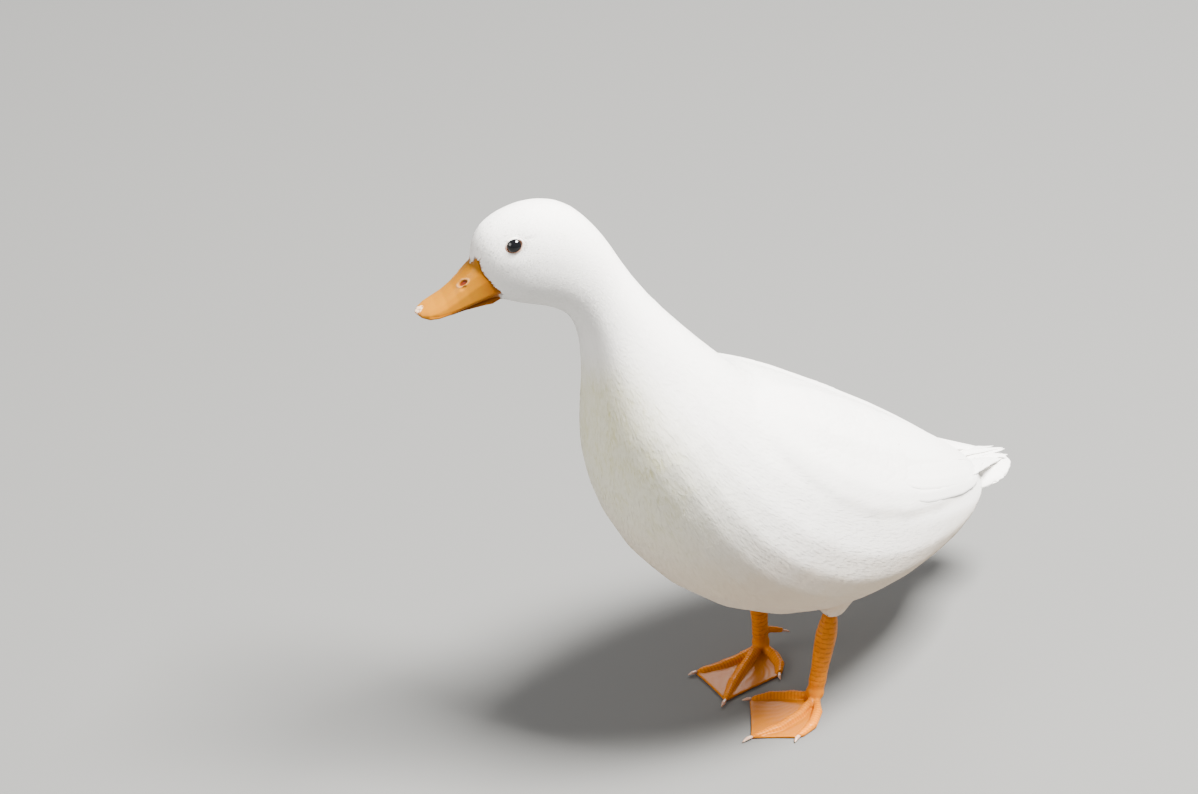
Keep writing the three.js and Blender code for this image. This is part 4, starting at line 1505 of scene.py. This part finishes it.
def wing_top(mesh):
    """1 on the part of a folded wing that the flank's feathers leave open, and 0 elsewhere."""
    wing, across, above = (values_of(mesh, name) for name in ("wing", "across", "above"))
    turn = np.degrees(np.abs(np.arctan2(across, above)))
    return (wing >= 0.6) * (turn < FLANK_TURN)


class DUCK_OT_coat(bpy.types.Operator):
    """Makes the contour feathers of head, neck, breast, belly, flanks and thighs, tract by tract"""

    bl_idname = "duck.coat"
    bl_label = "Coat"

    def execute(self, context):
        bed = bpy.data.objects["bed"]
        material = Finish().plumage()
        share, cover = (values_of(bed.data, name) for name in ("share", "cover"))
        folded = wing_top(bed.data)
        for number, (name, first, last, spacing, kind, thick, ruffle, clump, size) in enumerate(TRACTS):
            shape = blade(kind)
            mesh = bed.data.copy()
            within = (share >= first) & (share < last) & ((folded < 0.5) | (share < COAT_ON_WING))
            store_shares(mesh, tract=within * cover)
            piece = feathers_on(name, mesh, skin=bed, blade=shape, material=material, spacing=spacing,
                                thickness=thick, ruffle=ruffle, clump=clump, clump_size=size,
                                seed=number + COAT_SEED)
            remove(shape)
            finished(piece, [material])
        return {"FINISHED"}


VANE_SIDES = np.array((-1.0, -0.94, -0.6, -0.1, 0.0, 0.1, 0.6, 0.94, 1.0))  # points from edge to edge
VANE_THICKNESS = 0.00025
VANE_CAMBER = 0.02  # how far the edges of a free feather hang, as a share of its width
VANE_DROOP = 0.0003  # how far the edges of a laid feather are turned down
RIB_HEIGHT, RIB_WIDTH = 0.00014, 0.07  # of the quill, the width as a share of half the feather's


def vane_points(line, normals, width, shape, lean, lay):
    """Points of one large feather along a line: stations by points across, above then below.

    shape gives the relative width along the feather, and lean moves the quill towards one edge.
    lay may hold a BodyMap, the height over it at each station, the extra height of one edge, and the
    place along the feather from which it leaves the body and runs on straight.
    """
    line, normals = np.asarray(line, float), unit(np.asarray(normals, float))
    along, sides = np.linspace(0, 1, len(line)), VANE_SIDES
    wide = width * np.interp(along, *shape)
    ahead = unit(np.gradient(line, axis=0))
    aside = unit(np.cross(normals, ahead))
    normals = np.cross(ahead, aside)
    quill = np.exp(-((sides / RIB_WIDTH) ** 2))
    above, below = [], []
    for number, place in enumerate(along):
        across = aside[number] * (wide[number] / 2)
        base = line[number] + (sides + lean * (1 - sides**2))[:, None] * across
        outwards = normals[number]
        rib = quill * RIB_HEIGHT * (1 - 0.7 * place)
        thin = VANE_THICKNESS * (1 - sides**2) * (1 - 0.5 * place)
        if lay:
            body, heights, raised, free = lay
            bottom, away = body.under(base)
            droop = VANE_DROOP * smoothstep(np.abs(sides), 0.9, 1)
            rise = raised * (1 - sides * np.sign(lean)) / 2 + rib - droop
            hold = 1 - smoothstep(place, free, free + 0.25)
            base = hold * (bottom + heights[number] * away) + (1 - hold) * base
            outwards = unit(hold * away + (1 - hold) * outwards)
        else:
            rise = -VANE_CAMBER * sides**2 * wide[number] + rib
        above.append(base + rise[:, None] * outwards)
        below.append(base + (rise - rib - thin)[:, None] * outwards)
    return np.array(above), np.array(below), along


def dress(mesh, vanes, tones, spots):
    """Stores what the plumage's material and its bake read on a mesh of large feathers."""
    store(mesh, "vane", vanes)
    store_shares(mesh, tone=tones, cream=PLAIN_CREAM, soil=0.0)
    loops = numbers_of(mesh.loops, "vertex_index", kind=np.int32)
    mesh.uv_layers.new(name="OFBake").data.foreach_set("uv", np.array(spots)[loops].ravel())


def stack_of(node, rounds):
    """The solid of a stack of feathers as an even mesh, dressed as the feathers on it are."""
    stack = remeshed(joined_copy("stack", [node]), STACK_CELL, rounds)
    found, _, across, above = spine.seen(places_of(stack.data))
    spots = unwrapped(spine.share[found], across, above)
    dress(stack.data, np.zeros((len(spots), 3)), 0.8, spots)
    return stack


class Vanes:
    """Collects large feathers into one mesh, with their vane places, tones and bake patches."""

    def __init__(self):
        self.vertices, self.faces, self.vanes, self.tones, self.spots = [], [], [], [], []

    def add(self, line, normals, width, shape, spot, tone, lean, lay=None):
        above, below, along = vane_points(line, normals, width, shape, lean, lay)
        stations, count = above.shape[:2]
        first = len(self.vertices)
        self.vertices += list(above.reshape(-1, 3)) + list(below.reshape(-1, 3))
        for _ in range(2):
            for place in along:
                for side in VANE_SIDES:
                    self.vanes.append((side, place * 6, 0))
                    self.spots.append((spot[0] + side * BAKE_PATCH / 2,
                                       spot[1] + (place - 0.5) * BAKE_PATCH))
                    self.tones.append(tone)
        lower = first + stations * count

        def at(level, station, side):
            return level + station * count + side

        for station in range(stations - 1):
            for side in range(count - 1):
                corners = [(station, side), (station, side + 1),
                           (station + 1, side + 1), (station + 1, side)]
                self.faces.append([at(first, *corner) for corner in corners])
                self.faces.append([at(lower, *corner) for corner in reversed(corners)])
        for side in range(count - 1):
            for station, turn in ((0, 1), (stations - 1, -1)):
                face = [at(first, station, side), at(lower, station, side), at(lower, station, side + 1),
                        at(first, station, side + 1)]
                self.faces.append(face[::turn])
        for station in range(stations - 1):
            for side, turn in ((0, -1), (count - 1, 1)):
                face = [at(first, station, side), at(lower, station, side), at(lower, station + 1, side),
                        at(first, station + 1, side)]
                self.faces.append(face[::turn])

    def build(self, name):
        mesh = mesh_from(name, self.vertices, self.faces)
        dress(mesh, self.vanes, self.tones, self.spots)
        with edited(mesh) as work:
            bmesh.ops.remove_doubles(work, verts=work.verts, dist=1e-6)
            bmesh.ops.recalc_face_normals(work, faces=work.faces)
        return new_object(name, mesh)


class BodyMap:
    """Finds places on the body by share of the spine and by turn from the top of the back."""

    def __init__(self, bed):
        self.tree = search_tree(bed.data)

    def place(self, share, turn, side, lift):
        row = int(np.clip(share, 0, 1) * (len(spine.share) - 1))
        angle = math.radians(turn) * LEFTWARDS[side]
        out = Vector(spine.up[row] * math.cos(angle) + spine.left[row] * math.sin(angle))
        middle = Vector(spine.line[row])
        hit, normal, _, _ = self.tree.ray_cast(middle + out * 0.15, -out)
        if hit is None:
            return middle, out
        return hit + normal * lift, normal

    def under(self, places):
        """The surface and its outward direction below each place."""
        found = [self.tree.find_nearest(Vector(place))[:2] for place in places]
        return np.array([spot for spot, _ in found]), np.array([out for _, out in found])

    def line(self, start, end, side, lifts, count=14):
        """A line on the body between two (share, turn) places, at lifts from its root to its tip."""
        shares = np.linspace(start[0], end[0], count)
        turns = np.linspace(start[1], end[1], count)
        heights = np.interp(np.linspace(0, 1, count), LIFT_AT, lifts)
        found = [self.place(*each, side, height) for *each, height in zip(shares, turns, heights)]
        places = np.array([place for place, _ in found])
        normals = np.array([normal for _, normal in found])
        for _ in range(3):
            places[1:-1] = 0.5 * places[1:-1] + 0.25 * (places[:-2] + places[2:])
            normals[1:-1] = 0.5 * normals[1:-1] + 0.25 * (normals[:-2] + normals[2:])
        return places, unit(normals)


FLIGHT_SHAPE = ((0, 0.08, 0.3, 0.7, 0.85, 0.95, 1), (0.12, 0.5, 0.9, 1, 0.82, 0.5, 0.06))
PRIMARY_SHAPE = ((0, 0.1, 0.4, 0.75, 0.92, 1), (0.3, 0.7, 1, 0.8, 0.42, 0.05))

# Rows of large feathers on each folded wing: how many, where the lowest and the highest have root and
# tip as (share of the spine, degrees from the top of the back), their width, how high they lie, and
# how much more the tip stands out.
WING_ROWS = (
    (2, (0.640, 64), (0.886, 61), (0.610, 57), (0.898, 56), 0.0180, 0.0021, 0.0009),
    (2, (0.590, 52), (0.900, 51), (0.590, 46), (0.903, 45), 0.0210, 0.0018, 0.0005),
    (4, (0.585, 40), (0.905, 40), (0.590, 14), (0.912, 18), 0.0240, 0.0015, 0.0002),
)
LIFT_AT = (0, 0.2, 0.75, 1)  # places along a feather where its lifts are given, from root to tip
ROOT_LIFT = -0.0010  # the roots lie inside the coat
FLANK_TURN = 62  # degrees from the top of the back, where the flank's feathers cover the wing
STACK_CELL = 0.0009
VANE_LEAN = 0.25  # how far the quills lie off the middle, as a share of half the feather's width
TAIL_FEATHERS = 10
TAIL_HALF = 0.0160  # from the middle of the tail to the quill of its outermost feather
TAIL_ROOT = -0.126  # where its feathers begin
TAIL_SPREAD = ((0.126, 0.150, 0.180, 0.2115), (0.6, 0.85, 1.0, 0.95))  # of the fan, by backward reach
TAIL_STATIONS = 18
TAIL_POINTS = (  # the loose feathers at its end: sideways place, and how far short of the tail they end
    (-0.010, 0.004), (-0.003, 0.0), (0.004, 0.0005), (0.010, 0.0045),
)
PRIMARIES = 5
PRIMARY_STATIONS = 16
PRIMARY_HEIGHT = ((0.0835, 0.2025), (0.140, 0.096))  # backward reach and height over the wing's tip
MIDLINE = 0.0012  # sideways place of the middle of the rump
TIP_REACH = (-0.086, -0.105, -0.127, -0.150, -0.170, -0.190, -0.202)  # along the left wing's tip
TIP_OUTER = (0.0505, 0.0495, 0.0465, 0.0365, 0.0255, 0.0150, 0.0100)  # and its two edges there
TIP_INNER = (0.0420, 0.0300, 0.0170, 0.0125, 0.0101, 0.0075, 0.0072)


class DUCK_OT_wings(bpy.types.Operator):
    """Makes the coverts, secondaries and tertials that cover each folded wing"""

    bl_idname = "duck.wings"
    bl_label = "Wings"

    def execute(self, context):
        bed = bpy.data.objects["bed"]
        material = Finish().plumage()
        share, across = (values_of(bed.data, name) for name in ("share", "across"))
        folded = wing_top(bed.data)
        body = BodyMap(bed)
        draw = np.random.default_rng(12)
        for number, side in enumerate(SIDES):
            shape = blade("covert")
            mesh = bed.data.copy()
            here = (folded > 0.5) & (across * LEFTWARDS[side] > 0)
            here &= (share > COVERT_SHARES[0]) & (share < COVERT_SHARES[1])
            store_shares(mesh, tract=here, length=np.interp(share, COVERT_AT, COVERT_LENGTH),
                         width=np.interp(share, COVERT_AT, COVERT_WIDTH))
            piece = feathers_on(f"coverts_{side}", mesh, skin=bed, blade=shape, material=material,
                                spacing=0.0028, ruffle=0.06, clump=0.0, layering=0.2, climb=0.14,
                                thickness=0.00016, seed=number + COVERT_SEED)
            remove(shape)
            finished(piece, [material])
            vanes = Vanes()
            for count, root_low, tip_low, root_high, tip_high, width, lift, proud in WING_ROWS:
                lifts = (ROOT_LIFT, lift - 0.0003, lift - 0.0001, lift + proud)
                for part in np.linspace(0, 1, count):
                    root = [a + (b - a) * part for a, b in zip(root_low, root_high)]
                    tip = [a + (b - a) * part for a, b in zip(tip_low, tip_high)]
                    tip[0] += draw.normal(0, 0.002)
                    line, normals = body.line(root, tip, side, lifts)
                    heights = np.interp(np.linspace(0, 1, len(line)), LIFT_AT, lifts)
                    spot = (UNWRAP_START + UNWRAP_SPAN * root[0], 0.5 + LEFTWARDS[side] * root[1] / 360)
                    vanes.add(line, normals, width, FLIGHT_SHAPE, spot, 0.75 + draw.uniform(-0.15, 0.15),
                              lean=-VANE_LEAN * LEFTWARDS[side], lay=(body, heights, -0.00022, 1.0))
            finished(vanes.build(f"flight_{side}"), [material])
        return {"FINISHED"}


class DUCK_OT_tips(bpy.types.Operator):
    """Makes the primaries that cross over the rump"""

    bl_idname = "duck.tips"
    bl_label = "Wing tips"

    def execute(self, context):
        material = Finish().plumage()
        backwards = [-place for place in TIP_REACH]
        for side, sign in LEFTWARDS.items():
            node = f"wing_tip_{side}"
            stack = stack_of(node, 3)
            body = BodyMap(stack)
            vanes = Vanes()
            for number in range(PRIMARIES):
                part = number / (PRIMARIES - 1)
                reach = np.linspace(TIP_REACH[0], -0.163 - 0.0385 * part, PRIMARY_STATIONS)
                outer, inner = (np.interp(-reach, backwards, edge) for edge in (TIP_OUTER, TIP_INNER))
                aside = outer + (0.12 + 0.7 * part) * (inner - outer)
                height = np.interp(-reach, *PRIMARY_HEIGHT)
                aside = MIDLINE + sign * (aside - MIDLINE)
                line, normals = body.under(np.stack([reach, aside, height], 1))
                heights = np.linspace(0.0, 0.0003, PRIMARY_STATIONS)
                spot = (0.55 + 0.05 * part, 0.5 + sign * (0.08 + 0.03 * part))
                vanes.add(line, normals, 0.0105, PRIMARY_SHAPE, spot, 0.7 + 0.04 * number,
                          lean=-VANE_LEAN * sign, lay=(body, heights, -0.0003, 0.85))
            tips = joined_objects(vanes.build(f"primaries_{side}"), stack)
            tips.data.name = tips.name
            finished(tips, [material], [node])
        return {"FINISHED"}


class DUCK_OT_tail(bpy.types.Operator):
    """Makes the fan of tail feathers, above and below, with the loose points at its end"""

    bl_idname = "duck.tail"
    bl_label = "Tail"

    def execute(self, context):
        material = Finish().plumage()
        low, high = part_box("tail")
        middle = (low.y + high.y) / 2
        over = np.full(TAIL_STATIONS, high.z + 0.006)
        fan = stack_of("tail", 4)
        body = BodyMap(fan)
        vanes = Vanes()
        numbers = np.arange(TAIL_FEATHERS)
        outermost_first = sorted(numbers, key=lambda each: -abs(each - numbers.mean()))
        for under in (0, 1):
            for number in outermost_first:
                side = 2 * number / (TAIL_FEATHERS - 1) - 1
                end = low.x + 0.001 + 0.019 * abs(side) ** 1.7 + 0.0012 * (number % 2)
                reach = TAIL_ROOT + (end - TAIL_ROOT) * np.linspace(0, 1, TAIL_STATIONS)
                aside = middle + side * TAIL_HALF * np.interp(-reach, *TAIL_SPREAD)
                start = np.full(TAIL_STATIONS, low.z - 0.01) if under else over
                line, normals = body.under(np.stack([reach, aside, start], 1))
                heights = np.linspace(0.0001, 0.0003, TAIL_STATIONS)
                spot = (0.93, 0.5 + 0.08 * side + 0.3 * under)
                vanes.add(line, normals, 0.0120, FLIGHT_SHAPE, spot, 0.72 + 0.06 * (number % 3),
                          lean=VANE_LEAN * (np.sign(side) or 1), lay=(body, heights, -0.0002, 1.0))
        for aside, short in TAIL_POINTS:
            reach = np.linspace(-0.150, low.x + short, TAIL_STATIONS)
            held = np.maximum(reach, low.x + 0.009)
            line, normals = body.under(np.stack([held, np.full(TAIL_STATIONS, middle + aside), over], 1))
            slope = (line[-1, 2] - line[8, 2]) / (line[-1, 0] - line[8, 0])
            line[:, 2] += slope * (reach - held) + 0.0006
            line[:, 0] = reach
            vanes.add(line, normals, 0.0080, PRIMARY_SHAPE, (0.95, 0.5 + aside * 4), 0.75, lean=0.2)
        tail = joined_objects(vanes.build("tail_feathers"), fan)
        finished(tail, [material], ["tail"])
        return {"FINISHED"}


# ---------------------------------------------------------------- stage

FLOOR_HALF = 6.0
SKY_COLOUR, SKY_STRENGTH = (0.95, 0.97, 1.0), 0.55
LAMPS = (  # name, place, side of the lamp, watts, colour
    ("key", (-0.45, 0.95, 2.9), 1.0, 800.0, (1.0, 0.985, 0.95)),
    ("fill", (2.6, -1.2, 1.3), 1.6, 55.0, (1.0, 0.97, 0.93)),
    ("rim", (-1.8, -1.6, 1.8), 1.2, 60.0, (1.0, 1.0, 1.0)),
)
LAMP_TARGET = Vector((0.02, 0.0, 0.19))
SENSOR_WIDTH = 36.0


class DUCK_OT_stage(bpy.types.Operator):
    """Sets up the plain floor, the soft studio light and the camera"""

    bl_idname = "duck.stage"
    bl_label = "Stage"

    def execute(self, context):
        sizes = context.scene.duck_sizes
        half = FLOOR_HALF
        corners = [(-half, -half, 0), (half, -half, 0), (half, half, 0), (-half, half, 0)]
        floor = new_object("floor", mesh_from("floor", corners, [(0, 1, 2, 3)]))
        floor.data.materials.append(Finish().floor())
        sky = bpy.data.worlds.new("Studio")
        sky.use_nodes = True
        background = sky.node_tree.nodes["Background"].inputs
        background["Color"].default_value = rgba(SKY_COLOUR)
        background["Strength"].default_value = SKY_STRENGTH
        context.scene.world = sky
        for name, place, size, power, colour in LAMPS:
            data = bpy.data.lights.new(name, "AREA")
            data.size = size
            data.energy = power
            data.color = colour
            lamp = new_object(name, data)
            lamp.location = place
            lamp.rotation_euler = (LAMP_TARGET - Vector(place)).to_track_quat("-Z", "Y").to_euler()
        turn, rise = sizes.azimuth, sizes.elevation
        backwards = Vector((math.sin(turn) * math.cos(rise), -math.cos(turn) * math.cos(rise),
                            math.sin(rise)))
        data = bpy.data.cameras.new("camera")
        data.lens = sizes.lens
        data.sensor_width = SENSOR_WIDTH
        camera = new_object("camera", data)
        camera.location = Vector(sizes.aim) + backwards * sizes.distance
        camera.rotation_euler = (-backwards).to_track_quat("-Z", "Y").to_euler()
        context.scene.camera = camera
        return {"FINISHED"}


class DUCK_PT_panel(bpy.types.Panel):
    """Lists the duck's pieces, sizes and colours"""

    bl_idname = "DUCK_PT_panel"
    bl_label = "Duck"
    bl_space_type = "VIEW_3D"
    bl_region_type = "UI"
    bl_category = "Duck"

    def draw(self, context):
        for operator in OPERATORS:
            self.layout.operator(operator.bl_idname)
        for group in (context.scene.duck_sizes, context.scene.duck_colours):
            for name in group.__annotations__:
                self.layout.prop(group, name)


OPERATORS = (DUCK_OT_stage, DUCK_OT_skin, DUCK_OT_bill, DUCK_OT_eyes, DUCK_OT_claws, DUCK_OT_coat,
             DUCK_OT_wings, DUCK_OT_tips, DUCK_OT_tail)
CLASSES = (DuckSizes, DuckColours, *OPERATORS, DUCK_PT_panel)


def register():
    for each in CLASSES:
        bpy.utils.register_class(each)
    bpy.types.Scene.duck_sizes = bpy.props.PointerProperty(type=DuckSizes)
    bpy.types.Scene.duck_colours = bpy.props.PointerProperty(type=DuckColours)


def unregister():
    del bpy.types.Scene.duck_colours
    del bpy.types.Scene.duck_sizes
    for each in reversed(CLASSES):
        bpy.utils.unregister_class(each)


def main():
    register()
    for operator in OPERATORS:
        group, name = operator.bl_idname.split(".")
        getattr(getattr(bpy.ops, group), name)()
    remove(bpy.data.objects["bed"])


if __name__ == "__main__":
    main()
